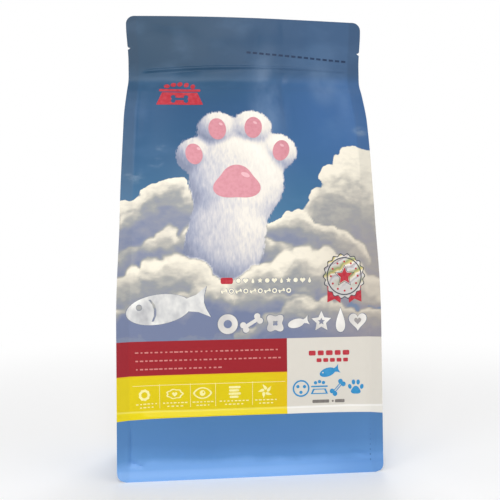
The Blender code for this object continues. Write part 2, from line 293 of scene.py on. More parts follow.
def grain(u, v, size, seed):
    """Smooth random relief from -1 to 1, with lumps about one size across."""
    lattice = np.random.default_rng(seed).uniform(-1.0, 1.0, (LATTICE_CELLS, LATTICE_CELLS))
    a, b = u / size, v / size
    column, row = np.floor(a).astype(int), np.floor(b).astype(int)
    along, up = smooth_step(0.0, 1.0, a - column), smooth_step(0.0, 1.0, b - row)
    left, right = column % LATTICE_CELLS, (column + 1) % LATTICE_CELLS
    low, high = row % LATTICE_CELLS, (row + 1) % LATTICE_CELLS
    foot = lattice[left, low] * (1.0 - along) + lattice[right, low] * along
    head = lattice[left, high] * (1.0 - along) + lattice[right, high] * along
    return foot * (1.0 - up) + head * up


def fold(x, z, start, end, width, height):
    """A fold along a line, in millimetres: a ridge if its height is above 0, or else a valley."""
    start_x, start_z = start[0] * MM, start[1] * MM
    run_x, run_z = end[0] * MM - start_x, end[1] * MM - start_z
    along = ((x - start_x) * run_x + (z - start_z) * run_z) / (run_x ** 2 + run_z ** 2)
    held = np.clip(along, 0.0, 1.0)
    away = np.hypot(x - start_x - held * run_x, z - start_z - held * run_z)
    taper = np.sin(math.pi * held) ** TAPER_POWER
    return height * MM * taper * np.exp(-(away / (width * MM)) ** 2)


FRONT_FOLDS = (
    ((18, 320), (20, 236), 8.0, 2.0),
    ((29, 315), (31, 258), 3.2, -1.6),
    ((7, 302), (8, 262), 2.5, -0.5),
    ((52, 315), (66, 262), 9.0, 1.0),
    ((70, 316), (88, 250), 6.0, -0.8),
    ((-50, 314), (-44, 250), 14.0, -1.2),
    ((-80, 312), (-88, 246), 6.0, -0.8),
    ((-20, 315), (-14, 262), 12.0, 0.7),
    ((-40, 344), (30, 349), 9.0, 0.9),
    ((10, 340), (84, 333), 6.0, -0.7),
    ((-94, 347), (-30, 340), 7.0, -0.6),
    ((84, 300), (90, 210), 4.0, -0.5),
    ((-87, 225), (-90, 130), 4.0, -0.5),
    ((-20, 16), (60, 12), 3.0, -0.5),
    ((-78, 17), (-30, 14), 3.0, -0.5),
)
BACK_FOLDS = (
    ((-22, 315), (-26, 240), 10.0, -1.8),
    ((8, 314), (14, 256), 9.0, 1.1),
    ((48, 315), (60, 250), 9.0, -1.2),
    ((-66, 314), (-80, 262), 8.0, -0.9),
    ((-60, 344), (20, 348), 8.0, -0.8),
    ((88, 200), (90, 110), 4.0, -0.5),
)
PUCKERS = (
    ((-92, 13), (-79, 8), 2.0, -2.4),
    ((-90, 8), (-90, 42), 0.9, -0.9),
    ((-88, 9), (-78, 15), 1.4, 0.7),
    ((91, 11), (72, 15), 1.7, -1.0),
    ((93, 8), (93, 44), 1.2, -0.7),
)
LOW_CREASE_HEIGHT = 0.0513
LOW_CREASE_DROOP = 0.0020
LEDGE_HEIGHT = 0.0036
LEDGE_DEPTH = 0.0022
LEDGE_SLOPE = 0.0150
BACK_LEDGE_RISE = 0.012
FINE_HEIGHT, FINE_SIZE = 0.16, 0.013
BROAD_HEIGHT, BROAD_SIZE = 0.30, 0.034
SLACK_HEIGHT, SLACK_SIZE, SLACK_STRETCH = 0.28, 0.024, 1.6
FULL_FROM, FULL_TO = (0.012, 0.040), (0.225, 0.285)
SLACK_FROM, SLACK_TO = (0.240, 0.300), 0.352
PUCKER_RISE = 0.003


def low_crease(x, z, side):
    """The fold across each panel over the flat bottom: a short ledge below, a long slope above."""
    centre = LOW_CREASE_HEIGHT - LOW_CREASE_DROOP * (x / 0.1) ** 2 + BACK_LEDGE_RISE * (side > 0)
    above = bump(centre, LEDGE_SLOPE, z) * (z > centre)
    below = np.clip(1.0 - (centre - z) / LEDGE_HEIGHT, 0.0, 1.0) * (z <= centre)
    return -LEDGE_DEPTH * (above + below)


def relief(x, z, side):
    """Everything that makes a panel uneven, in metres outwards."""
    folds = FRONT_FOLDS if side < 0 else BACK_FOLDS
    total = low_crease(x, z, side)
    for start, end, width, height in folds:
        total = total + fold(x, z, start, end, width, height)
    full = smooth_step(*FULL_FROM, z) * (1.0 - smooth_step(*FULL_TO, z))
    lumps = FINE_HEIGHT * grain(x, z, FINE_SIZE, 3 + side)
    lumps = lumps + BROAD_HEIGHT * grain(x, z, BROAD_SIZE, 7 + side)
    slack = SLACK_HEIGHT * grain(x * SLACK_STRETCH, z, SLACK_SIZE, 11 + side)
    slack = slack * smooth_step(*SLACK_FROM, z)
    return total + MM * (lumps * full + slack * (1.0 - smooth_step(SLACK_TO, BAG_HEIGHT, z)))


def puckers(x, z):
    """Short sharp creases beside the welds, where the film is held and can't slide."""
    total = sum(fold(x, z, *drawn) for drawn in PUCKERS)
    return total * smooth_step(SKIRT_HEIGHT, SKIRT_HEIGHT + PUCKER_RISE, z)


print("folds drawn by hand", len(FRONT_FOLDS), "in front and", len(BACK_FOLDS), "behind")

# %% [markdown]
# Two more functions finish the rule. One gives the depth of a panel's face and presses the welded
# seam beside the fin into it. The other puts a point in space, on the outer face or set in or out
# from it by a given amount, which is how the prints below will lie on the film.

# %% Points on a panel
BELLY_POWER = 2.4
FOLD_MARGIN, ZIP_MARGIN = 0.20, 0.08
GROOVE_DEPTH = 0.00025
SEAM_OFFSET, SEAM_WIDTH = 0.0006, 0.0009
SEAM_FULL, SEAM_FADE = 0.016, (0.300, 0.315)
FOOT_SEAM_WIDTH = 0.0012


def placed(x, y, z):
    """A point of the standing pouch, whose header bows to the front and leans to the right."""
    bow = HEADER_BOW * smooth_step(*BOW_SPAN, z) * np.cos(math.pi * (x - BOW_MIDDLE) / PANEL_WIDTH)
    return np.stack(np.broadcast_arrays(x + TOP_LEAN * smooth_step(*LEAN_SPAN, z), y - bow, z), axis=-1)


def zip_line(x):
    """Height of the press-to-close strip, which arches with the header."""
    return ZIP_HEIGHT - ZIP_ARCH * ((x - ZIP_MIDDLE) / ZIP_REACH) ** 2


def panel_depth(x, z, side):
    """Distance of a panel's outer face from the pouch's middle plane."""
    root = root_half_width(z)
    across = np.minimum(np.abs(x) / root, 1.0)
    depth = root_half_depth(z) + belly(z) * (1.0 - across ** BELLY_POWER)
    depth = depth + relief(x, z, side) * smooth_step(0.0, FOLD_MARGIN, 1.0 - across)
    rib = np.maximum(0.0, 1.0 - ((z - zip_line(x)) / ZIP_HALF_WIDTH) ** 2)
    depth = depth + ZIP_PROUD * rib * smooth_step(0.0, ZIP_MARGIN, 1.0 - across)
    seam = bump(0.0, SEAM_WIDTH, np.abs(x) - root - SEAM_OFFSET) * smooth_step(SKIRT_HEIGHT, SEAM_FULL, z)
    depth = depth - GROOVE_DEPTH * seam * (1.0 - smooth_step(*SEAM_FADE, z))
    depth = depth - GROOVE_DEPTH * bump(FOOT_SEAM_HEIGHT, FOOT_SEAM_WIDTH, z) + puckers(x, z)
    return depth + SKIRT_SPLAY * (1.0 - smooth_step(0.0, SKIRT_HEIGHT, z))


def panel_point(x, z, side, inset=0.0):
    """A point of the front (side -1) or back (side 1) panel, set into the film by inset."""
    return placed(x, side * (panel_depth(x, z, side) - inset), z)


print("waist half depth", round(float(panel_depth(0.0, 0.19, -1)) / MM, 1), "mm")

# %% [markdown]
# Now the mesh. A real pouch is folded from one web of film, and a loft repeats that: every row is one
# closed ring that runs round the front panel, a fin, the gusset and the back panel. Rows lie closer
# where the outline turns quickly, at the rounded corners, the zip and the tear notches.

# %% Rows of the loft
PANEL_COLUMNS = 150
BACK_COLUMNS = 72
GUSSET_COLUMNS = 36
FIN_STEPS = 8
INNER_POINTS = 3
CORNER_STEPS = 8
ROW_SPACING, LEDGE_SPACING, ZIP_SPACING, NOTCH_SPACING = 0.00145, 0.0004, 0.00045, 0.00035
LEDGE_BELOW, LEDGE_ABOVE = 0.006, 0.001
HEADER_GAP = 0.0005


def quarter_arc(radius, steps):
    """Heights over the level end of a quarter circle."""
    return [radius * (1.0 - math.cos(0.5 * math.pi * i / steps)) for i in range(steps + 1)]


def even(low, high, spacing):
    """Evenly spaced heights from low up to but not including high."""
    count = max(1, round((high - low) / spacing))
    return [low + (high - low) * i / count for i in range(count)]


def body_heights():
    """Heights of the rows up to the top of the folded gussets."""
    corner = sorted(BOTTOM_CORNER_RADIUS - h for h in quarter_arc(BOTTOM_CORNER_RADIUS, CORNER_STEPS))
    ledge_low, ledge_high = LOW_CREASE_HEIGHT - LEDGE_BELOW, LOW_CREASE_HEIGHT + LEDGE_ABOVE
    rows = corner[:-1] + even(BOTTOM_CORNER_RADIUS, ledge_low, ROW_SPACING)
    rows += even(ledge_low, ledge_high, LEDGE_SPACING) + even(ledge_high, FOLD_END, ROW_SPACING)
    return np.array(rows + [FOLD_END])


def header_heights():
    """Heights of the header's rows, past the zip and the notches to the rounded corners."""
    zip_low, zip_high = FOLD_END + HEADER_GAP, ZIP_HEIGHT + ZIP_HALF_WIDTH
    notch_low, notch_high = NOTCH_HEIGHT - NOTCH_HALF_HEIGHT, NOTCH_HEIGHT + NOTCH_HALF_HEIGHT
    rows = even(zip_low, zip_high, ZIP_SPACING) + even(zip_high, notch_low, ROW_SPACING)
    rows += even(notch_low, notch_high, NOTCH_SPACING)
    rows += even(notch_high, BAG_HEIGHT - TOP_CORNER_RADIUS, ROW_SPACING)
    corner = sorted(BAG_HEIGHT - h for h in quarter_arc(TOP_CORNER_RADIUS, CORNER_STEPS))
    return np.array(rows + corner)


print("rows", len(body_heights()), "below the zip and", len(header_heights()), "above")

# %% [markdown]
# A ring is put together from parts. A panel has a few columns over each fin and many over its belly.
# A gusset folds in along its middle by just as much as its open width gives up, so that the length of
# film round the ring stays the same from foot to neck. Lumps, a pinch along the middle crease and one
# slanting buckle keep the gussets from looking inflated.

# %% Rings of the loft
FINE_LUMPS, BROAD_LUMPS = 0.55, 0.8
PINCH_DEPTH, PINCH_WIDTH = 1.9, 0.0022
BUCKLE_DEPTH, BUCKLE_WIDTH = 1.3, 0.0035
BUCKLE_FOOT, BUCKLE_SLANT, BUCKLE_FADE = 0.128, 0.45, (0.19, 0.23)
PUFF_FULL, SLACK_FULL, SLACK_LOSS = 0.060, 0.050, 0.7
CREASE_POWER = 1.15


def panel_stations(z, columns):
    """The x of every column of a panel, from its left fin tip to its right one, for each row."""
    tip, root = tip_half_width(z)[:, None], root_half_width(z)[:, None]
    share = np.linspace(0.0, 1.0, FIN_STEPS + 1)
    fin = root + (tip - root) * share
    inner = (root - FIN_THICKNESS) * np.linspace(-1.0, 1.0, columns + 1)
    return np.concatenate([-fin[:, ::-1], inner, fin], axis=1)


def fin_inner(z, hand, side):
    """The inner face of a fin, from its tip to its root."""
    tip, root = tip_half_width(z)[:, None], root_half_width(z)[:, None]
    x = hand * (tip + (root - tip) * np.linspace(0.0, 1.0, INNER_POINTS))
    return panel_point(x, z[:, None], side, FIN_THICKNESS)


def gusset_unevenness(share, z, hand):
    """Lumps, a pinch along the middle crease and a slanting buckle, in millimetres outwards."""
    along = share * GUSSET_WIDTH / 2.0
    away = np.abs(along)
    lumps = FINE_LUMPS * grain(along + 0.3, z, 0.016, 21 + hand)
    lumps = lumps + BROAD_LUMPS * grain(along + 0.7, z, 0.037, 31 + hand)
    pinch = PINCH_DEPTH * np.exp(-away / PINCH_WIDTH) * smooth_step(0.02, 0.08, z)
    slant = away - BUCKLE_SLANT * (z - BUCKLE_FOOT)
    buckle = BUCKLE_DEPTH * bump(0.0, BUCKLE_WIDTH, slant) * (1.0 - smooth_step(*BUCKLE_FADE, z))
    return lumps - pinch - buckle


def gusset(z, hand):
    """The folded gusset from the front fin root to the back one, without its two ends."""
    half = root_half_depth(z) - FIN_THICKNESS
    skirt = SKIRT_SPLAY * (1.0 - smooth_step(0.0, SKIRT_HEIGHT, z))
    full = GUSSET_WIDTH / 2.0
    crease = np.sqrt(np.maximum(full ** 2 - half ** 2, 0.0))
    crease = crease * smooth_step(FOLD_START, FOLD_START + FOLD_ONSET, z)
    puff = GUSSET_PUFF * smooth_step(SKIRT_HEIGHT, PUFF_FULL, z) * (1.0 - crease / full)
    share = np.linspace(-1.0, 1.0, GUSSET_COLUMNS + 1)[1:-1]
    slack = (smooth_step(SKIRT_HEIGHT, SLACK_FULL, z) * (1.0 - SLACK_LOSS * crease / full))[:, None]
    uneven = MM * gusset_unevenness(share, z[:, None], hand) * slack * (1.0 - share ** 4)
    x = root_half_width(z)[:, None] - crease[:, None] * (1.0 - np.abs(share) ** CREASE_POWER)
    x = x + puff[:, None] * (1.0 - share ** 2) + uneven
    return placed(hand * x, share * (half + skirt)[:, None], z[:, None])


def side_ring(z, hand):
    """From the front fin's tip round the gusset to the back fin's tip."""
    back = fin_inner(z, hand, 1)[:, ::-1]
    return np.concatenate([fin_inner(z, hand, -1), gusset(z, hand), back], axis=1)


def panel_rows(z):
    """The front panel's points from left to right and the back panel's from right to left."""
    front = panel_point(panel_stations(z, PANEL_COLUMNS), z[:, None], -1)
    back = panel_point(panel_stations(z, BACK_COLUMNS), z[:, None], 1)[:, ::-1]
    return front, back


body_z, header_z = body_heights(), header_heights()
body_front, body_back = panel_rows(body_z)
right_side, left_side = side_ring(body_z, 1), side_ring(body_z, -1)[:, ::-1]
body_rings = np.concatenate([body_front, right_side, body_back, left_side], axis=1)
header_rings = np.concatenate(panel_rows(header_z), axis=1)
print("points in a ring", body_rings.shape[1], "and in the header", header_rings.shape[1])

# %% [markdown]
# The rings are joined with quads, and three places need care. Over the folded gussets the four film
# edges meet the flat header, and a small web closes each slot. At the foot the skirts have a thin
# lower edge and an inner face. Between the skirts the bottom panel sags until it lies on the table.
# Each face also gets the finish of the film that it belongs to.

# %% Faces of the loft
FRONT_FILM, BACK_FILM, SIDE_FILM, CUT_EDGE = range(4)


class FaceList:
    """Faces and the finish of each one, collected while the pouch is put together."""

    def __init__(self):
        self.corners, self.finish = [], []

    def add(self, corners, finish):
        self.corners.append([int(c) for c in corners])
        self.finish.append(finish)

    def strip(self, low, high, finish):
        """Quads between two equally long rows of point numbers."""
        for i in range(len(low) - 1):
            self.add((low[i], low[i + 1], high[i + 1], high[i]), finish)


FRONT_COUNT = PANEL_COLUMNS + 1 + 2 * (FIN_STEPS + 1)
BACK_COUNT = BACK_COLUMNS + 1 + 2 * (FIN_STEPS + 1)
SIDE_COUNT = GUSSET_COLUMNS - 1 + 2 * INNER_POINTS


def split(ring):
    """The front panel, right side, back panel and left side of a body ring."""
    cuts = np.cumsum([FRONT_COUNT, SIDE_COUNT, BACK_COUNT])
    return np.split(ring, cuts)


def join_body(faces, low, high):
    """One row of quads round the pouch below the header."""
    finishes = (FRONT_FILM, SIDE_FILM, BACK_FILM, SIDE_FILM)
    lows, highs = split(low), split(high)
    for k in range(4):
        faces.strip(lows[k], highs[k], finishes[k])
        after = (k + 1) % 4
        pair = (lows[k][-1], lows[after][0], highs[after][0], highs[k][-1])
        faces.add(pair, CUT_EDGE)


def join_header(faces, low, high):
    """One row of quads round the flat header."""
    faces.strip(low[:FRONT_COUNT], high[:FRONT_COUNT], FRONT_FILM)
    faces.strip(low[FRONT_COUNT:], high[FRONT_COUNT:], BACK_FILM)
    last = FRONT_COUNT - 1
    faces.add((low[last], low[last + 1], high[last + 1], high[last]), CUT_EDGE)
    faces.add((low[-1], low[0], high[0], high[-1]), CUT_EDGE)


def join_slots(faces, body, header):
    """The panels run on into the header, and a web closes each gusset's slot."""
    front, right, back, left = split(body)
    head_front, head_back = header[:FRONT_COUNT], header[FRONT_COUNT:]
    faces.strip(front, head_front, FRONT_FILM)
    faces.strip(back, head_back, BACK_FILM)
    right_end = (front[-1], right[0], right[-1], back[0], head_back[0], head_front[-1])
    left_end = (back[-1], left[0], left[-1], front[0], head_front[0], head_back[-1])
    for web in (right_end, left_end, right, left):
        faces.add(web, SIDE_FILM)


print("film faces carry one of", CUT_EDGE + 1, "finishes")

# %% [markdown]
# The foot is what the pouch stands on. The skirts are single film with a cut edge below, so they
# need an inner face as well. Inside them the bottom panel is a row of loops that shrink while the
# panel sags from the skirts' seam to the table.

# %% The foot of the pouch
BASE_FLAT_SHARE = 0.72
BASE_SHARES = (0.97, 0.94, 0.91, 0.88, 0.85, 0.82, 0.79, 0.76, BASE_FLAT_SHARE)


def lining_loop(root, depth, height):
    """The space inside the skirts at one height, anticlockwise from above, with its four sides."""
    front_x = root * np.linspace(-1.0, 1.0, PANEL_COLUMNS + 1)
    back_x = root * np.linspace(1.0, -1.0, BACK_COLUMNS + 1)
    side_y = depth * np.linspace(-1.0, 1.0, GUSSET_COLUMNS + 1)[1:-1]
    x = np.concatenate([front_x, np.full(side_y.shape, root), back_x, np.full(side_y.shape, -root)])
    y = np.concatenate([np.full(front_x.shape, -depth), side_y, np.full(back_x.shape, depth), -side_y])
    return np.stack([x, y, np.full(x.shape, height)], axis=-1)


def skirt_lining(height):
    """The inner face of the skirts."""
    root = root_half_width(height) - FIN_THICKNESS
    depth = root_half_depth(height) - FIN_THICKNESS
    return lining_loop(root, depth + SKIRT_SPLAY * (1.0 - smooth_step(0.0, SKIRT_HEIGHT, height)), height)


def base_loop(share):
    """A loop of the bottom panel, which sags from the skirts down to the table."""
    root = root_half_width(SKIRT_HEIGHT) - FIN_THICKNESS
    depth = root_half_depth(SKIRT_HEIGHT) - FIN_THICKNESS
    height = (SKIRT_HEIGHT - FIN_THICKNESS) * smooth_step(BASE_FLAT_SHARE, 1.0, share)
    return lining_loop(root * share, depth * share, height)


def join_foot(faces, ring, lining):
    """The thin lower edge between the outer faces of skirts and fins and their lining."""
    front, right, back, left = split(ring)
    fin = FIN_STEPS + 1
    cuts = np.cumsum([PANEL_COLUMNS + 1, GUSSET_COLUMNS - 1, BACK_COLUMNS + 1])
    in_front, in_right, in_back, in_left = np.split(lining, cuts)
    in_right = np.concatenate([in_front[-1:], in_right, in_back[:1]])
    in_left = np.concatenate([in_back[-1:], in_left, in_front[:1]])
    within = slice(INNER_POINTS - 1, 1 - INNER_POINTS)
    edges = [(front[fin:-fin], in_front), (back[fin:-fin], in_back)]
    edges += [(right[within], in_right), (left[within], in_left)]
    for outer, inner in edges:
        faces.strip(outer[::-1], inner[::-1], CUT_EDGE)
    after_panel = ((front, right, in_front[-1]), (back, left, in_back[-1]))
    for panel, side, lining_corner in after_panel:
        outer, inner = panel[-fin - 1:], side[:INNER_POINTS]
        faces.add([lining_corner] + list(inner[::-1]) + list(outer[::-1]), CUT_EDGE)
    before_panel = ((back, right, in_back[0]), (front, left, in_front[0]))
    for panel, side, lining_corner in before_panel:
        outer, inner = panel[:fin + 1], side[-INNER_POINTS:]
        faces.add(list(outer[::-1]) + list(inner[::-1]) + [lining_corner], CUT_EDGE)


print("bottom panel loops", len(BASE_SHARES))

# %% [markdown]
# The parts are joined from the foot up: the body's rows, the slots over the gussets, the header's
# rows, its closed top and last the loops of the foot. Shading is smooth over the film and sharp
# along its cut edges and seams.

# %% Put the pouch together
SHARP_FILM_ANGLE = math.radians(42.0)


def loft_pouch():
    """All points, faces and finishes of the pouch."""
    faces = FaceList()
    loops = [skirt_lining(0.0), skirt_lining(SKIRT_HEIGHT / 2.0)] + [base_loop(s) for s in BASE_SHARES]
    layers = [body_rings.reshape(-1, 3), header_rings.reshape(-1, 3)] + loops
    body = np.arange(layers[0].shape[0]).reshape(body_rings.shape[:2])
    header = body.size + np.arange(layers[1].shape[0]).reshape(header_rings.shape[:2])
    for low, high in zip(body, body[1:]):
        join_body(faces, low, high)
    join_slots(faces, body[-1], header[0])
    for low, high in zip(header, header[1:]):
        join_header(faces, low, high)
    faces.add(header[-1], CUT_EDGE)
    base = body.size + header.size + np.arange(len(loops) * len(loops[0])).reshape(len(loops), -1)
    join_foot(faces, body[0], base[0])
    for outer, inner in zip(base, base[1:]):
        faces.strip(np.append(inner, inner[0]), np.append(outer, outer[0]), SIDE_FILM)
    faces.add(base[-1][::-1], SIDE_FILM)
    return np.concatenate(layers), faces


pouch_points, pouch_faces = loft_pouch()
pouch_data = bpy.data.meshes.new("food_bag_film")
pouch_data.from_pydata(pouch_points, [], pouch_faces.corners)
pouch_data.polygons.foreach_set("material_index", pouch_faces.finish)
pouch_data.shade_smooth()
pouch_data.set_sharp_from_angle(angle=SHARP_FILM_ANGLE)
pouch = bpy.data.objects.new("food_bag_film", pouch_data)
bpy.context.scene.collection.objects.link(pouch)
triangles = sum(len(corners) - 2 for corners in pouch_faces.corners)
print("pouch", len(pouch_points), "points and", triangles, "triangles")

# %% [markdown]
# The print on the front is a sky with heaped clouds. A cloud painter works from back to front: each
# puff is a small dome that hides what is behind it, and heaps of puffs give the cauliflower outline
# of cumulus. A bank is bright along the rim that faces the sun and shaded behind it, because there
# the bank itself stands in the light. So each point looks a few steps towards the sun and counts how
# much cloud is in the way. Every point of the panel gets a cover and a light, stored as attributes,
# and the material turns them into ink. That way the edges can be roughened finely in the shader.

# %% The cloud painter
SUN = np.array([0.26, 0.74, 0.62])
SUN_STEPS = (0.15, 0.35, 0.62, 1.0)
PUFF_SOFTNESS, PUFF_CONTRAST = 0.30, 0.17
BANK_CONTRAST = 0.50
CREST_LIFT, TONE_SPREAD = 0.34, 0.06


class Painting:
    """Cover and light of everything painted so far on a set of points, in millimetres."""

    def __init__(self, x, z):
        self.x, self.z = x, z
        self.cover, self.light = np.zeros(x.shape), np.full(x.shape, 0.4)

    def lay(self, light, alpha, where=slice(None)):
        """Paint a light over part of the points."""
        under = self.cover[where] * (1.0 - alpha)
        total = under + alpha
        self.light[where] = (self.light[where] * under + light * alpha) / np.maximum(total, 1e-6)
        self.cover[where] = total

    def puff(self, centre_x, centre_z, radius, tone):
        """One dome of cloud over what is there already. Its foot fades out."""
        near = (np.abs(self.x - centre_x) < radius) & (np.abs(self.z - centre_z) < radius)
        across = (self.x[near] - centre_x) / radius
        up = (self.z[near] - centre_z) / radius
        reach = np.hypot(across, up)
        alpha = (1.0 - smooth_step(1.0 - PUFF_SOFTNESS, 1.0, reach)) * smooth_step(-1.0, 0.2, up)
        out = np.sqrt(np.clip(1.0 - reach ** 2, 0.0, 1.0))
        facing = SUN[0] * across + SUN[1] * up + SUN[2] * out
        self.lay(tone + PUFF_CONTRAST * (facing - 0.45), alpha, near)

    def shade(self, puffs, depth):
        """Share of the steps towards the sun at which a point still has cloud over it."""
        blocked = np.zeros(self.x.shape)
        for step in SUN_STEPS:
            seen_x = self.x + step * depth * SUN[0] / np.hypot(*SUN[:2])
            seen_z = self.z + step * depth * SUN[1] / np.hypot(*SUN[:2])
            over = np.zeros(self.x.shape)
            for centre_z, centre_x, radius, _ in puffs:
                reach = np.hypot(seen_x - centre_x, seen_z - centre_z) / radius
                over = np.maximum(over, 1.0 - smooth_step(0.75, 1.05, reach))
            blocked += over / len(SUN_STEPS)
        return blocked

    def heap(self, centre, width, height, seed, size=12.0, count=70, tone=0.72, lit=22.0):
        """A bank of puffs on a level foot, which the sun lights to a depth in millimetres."""
        chance = np.random.default_rng(seed)
        puffs = []
        for _ in range(count):
            side = chance.uniform(-1.0, 1.0)
            level = chance.uniform(0.0, 1.0) ** 0.7
            radius = size * chance.uniform(0.35, 1.2) * (1.25 - 0.65 * level)
            rise = centre[1] + level * height * (1.0 - abs(side) ** 1.8)
            own_tone = tone + chance.uniform(-TONE_SPREAD, TONE_SPREAD) + CREST_LIFT * (level - 0.6)
            puffs.append((rise, centre[0] + side * width, radius, own_tone))
        puffs.sort(reverse=True)
        bank = Painting(self.x, self.z)
        for centre_z, centre_x, radius, own_tone in puffs:
            bank.puff(centre_x, centre_z, radius, own_tone)
        light = bank.light + BANK_CONTRAST * (0.5 - bank.shade(puffs, lit))
        self.lay(np.clip(light, 0.0, 1.0), bank.cover)


def ragged(x, z, seed):
    """Points moved a little by a random field, so that no puff is a true circle."""
    moved_x = x + 4.5 * grain(x, z, 14.0, seed) + 1.6 * grain(x, z, 5.0, seed + 1)
    moved_z = z + 3.5 * grain(x, z, 12.0, seed + 2) + 1.4 * grain(x, z, 4.5, seed + 3)
    return moved_x, moved_z


print("sun direction of the painting", SUN)

# %% [markdown]
# A paw raised out of the clouds fills the middle of the front: soft white fur with pink pads. Its
# outline is a blend of round forms, kept as a distance in millimetres. A distance stays exact between
# the points of the mesh, so the printed edge is sharp although the points are more than a millimetre
# apart.

# %% The paw
PAW_TOES = ((-41.0, 242.0, 14.5), (-24.0, 263.0, 15.5), (3.0, 264.5, 15.5), (23.0, 245.0, 14.5))
PALM = (-10.0, 223.0, 36.0)
ARM = ((-20.0, 172.0), (-11.0, 210.0), 29.0)
ARM_WAIST = 4.0
PALM_BLEND, TOE_BLEND = 9.0, 5.0
SLOPE_STEP = 0.5
FUR_ROUNDING = 20.0
FUR_MIDDLE, FUR_CONTRAST, HAIR_CONTRAST = 0.54, 0.50, 0.07


def blend_out(first, second, softness):
    """The nearer of two distances, rounded where the two forms meet."""
    mix = np.clip(0.5 + 0.5 * (second - first) / softness, 0.0, 1.0)
    return second * (1.0 - mix) + first * mix - softness * mix * (1.0 - mix)


def paw_distance(x, z):
    """Distance to the paw's outline in millimetres, below 0 inside it."""
    (foot_x, foot_z), (wrist_x, wrist_z), radius = ARM
    run_x, run_z = wrist_x - foot_x, wrist_z - foot_z
    along = ((x - foot_x) * run_x + (z - foot_z) * run_z) / (run_x ** 2 + run_z ** 2)
    along = np.clip(along, 0.0, 1.0)
    arm = np.hypot(x - foot_x - along * run_x, z - foot_z - along * run_z)
    waist = radius - ARM_WAIST * bump(0.80, 0.30, along)
    shape = blend_out(arm - waist, np.hypot(x - PALM[0], z - PALM[1]) - PALM[2], PALM_BLEND)
    for toe_x, toe_z, toe_radius in PAW_TOES:
        shape = blend_out(shape, np.hypot(x - toe_x, z - toe_z) - toe_radius, TOE_BLEND)
    return shape


def paw_light(x, z):
    """Brightness of the fur: domed, lit from the upper right, with toes that shade each other."""
    run = 2.0 * SLOPE_STEP
    slope_x = (paw_distance(x + SLOPE_STEP, z) - paw_distance(x - SLOPE_STEP, z)) / run
    slope_z = (paw_distance(x, z + SLOPE_STEP) - paw_distance(x, z - SLOPE_STEP)) / run
    rim = 1.0 - np.clip(-paw_distance(x, z) / FUR_ROUNDING, 0.0, 1.0)
    facing = SUN[0] * slope_x * rim + SUN[1] * slope_z * rim + SUN[2] * np.sqrt(1.0 - 0.9 * rim ** 2)
    hairs = 0.5 * grain(x * 3.0, z, 3.4, 41) + 0.5 * grain(x * 3.0 + z, z, 5.5, 42)
    turn = 0.11 * np.tanh((x + 14.0) / 16.0) - 0.10 * (1.0 - smooth_step(150.0, 205.0, z))
    return np.clip(FUR_MIDDLE + FUR_CONTRAST * (facing - 0.40) + turn + HAIR_CONTRAST * hairs, 0.0, 1.0)


print("paw reaches up to", max(z + r for _, z, r in PAW_TOES), "mm")

# %% [markdown]
# Every face of the pouch is painted separately. The front has a high bank on each side, a low one
# behind the paw and a row of puffs in front of it. The back and the gussets carry on with looser
# clouds. The results are written to the mesh as plain numbers for the shader, with one more that
# says where the film is welded.

# %% Paint the faces
FAR_FROM_PAW = 9.0


def paint_front(x, z):
    """The front's fields: cloud cover, light, distance to the paw, and cover in front of it."""
    across, up = ragged(x, z, 50)
    behind = Painting(across, up)
    behind.heap((86, 132), 34, 46, 96, size=16, count=60, tone=0.62, lit=40)
    behind.heap((84, 170), 46, 74, 91, size=19, count=130, tone=0.72, lit=74)
    behind.heap((-92, 158), 34, 46, 92, size=14, count=60, tone=0.62)
    behind.heap((-58, 160), 44, 60, 62, size=16, count=110, tone=0.58, lit=22)
    behind.heap((34, 160), 50, 34, 63, size=15, count=60, tone=0.66)
    behind.heap((-30, 150), 70, 36, 64, size=16, count=80, tone=0.56)
    paw = paw_distance(x + 0.7 * grain(x, z, 3.0, 70), z + 0.9 * grain(x, z, 2.4, 71))
    front = Painting(across, up)
    front.heap((-58, 130), 42, 32, 65, size=16, count=60, tone=0.72, lit=34)
    front.heap((42, 130), 56, 34, 66, size=16, count=80, tone=0.72, lit=34)
    front.heap((-20, 108), 100, 26, 67, size=17, count=90, tone=0.39)
    front.heap((50, 102), 60, 24, 68, size=15, count=60, tone=0.48)
    on_paw = np.clip(0.5 - paw, 0.0, 1.0)
    light = behind.light * (1.0 - on_paw) + paw_light(x, z) * on_paw
    light = light * (1.0 - front.cover) + front.light * front.cover
    cover = 1.0 - (1.0 - behind.cover) * (1.0 - front.cover)
    return cover, light, paw, front.cover


def paint_back(x, z):
    """The back's fields, in the same order and without a paw."""
    across, up = ragged(x, z, 80)
    behind = Painting(across, up)
    behind.heap((-50, 176), 60, 36, 81, size=14, count=90, tone=0.78)
    behind.heap((64, 160), 54, 30, 82, size=13, count=80, tone=0.74)
    behind.heap((0, 128), 110, 26, 83, size=14, count=120, tone=0.64)
    return behind.cover, behind.light, np.full(x.shape, FAR_FROM_PAW), behind.cover


def paint_side(y, z):
    """A gusset's fields. The sky runs on round the corner, so a bank stands here too."""
    across, up = ragged(y, z, 90)
    beside = Painting(across, up)
    beside.heap((6, 164), 52, 44, 93, size=14, count=80, tone=0.66)
    beside.heap((-8, 132), 60, 26, 94, size=13, count=80, tone=0.56)
    beside.heap((0, 112), 60, 18, 95, size=12, count=60, tone=0.46)
    return beside.cover, beside.light, np.full(y.shape, FAR_FROM_PAW), beside.cover


def side_points():
    """Which points belong to the gussets and the inner faces of their fins."""
    on_side = np.zeros(len(pouch_points), bool)
    ring = np.arange(body_rings.shape[0] * body_rings.shape[1]).reshape(body_rings.shape[:2])
    for row in ring:
        _, right, _, left = split(row)
        on_side[right] = on_side[left] = True
    return on_side


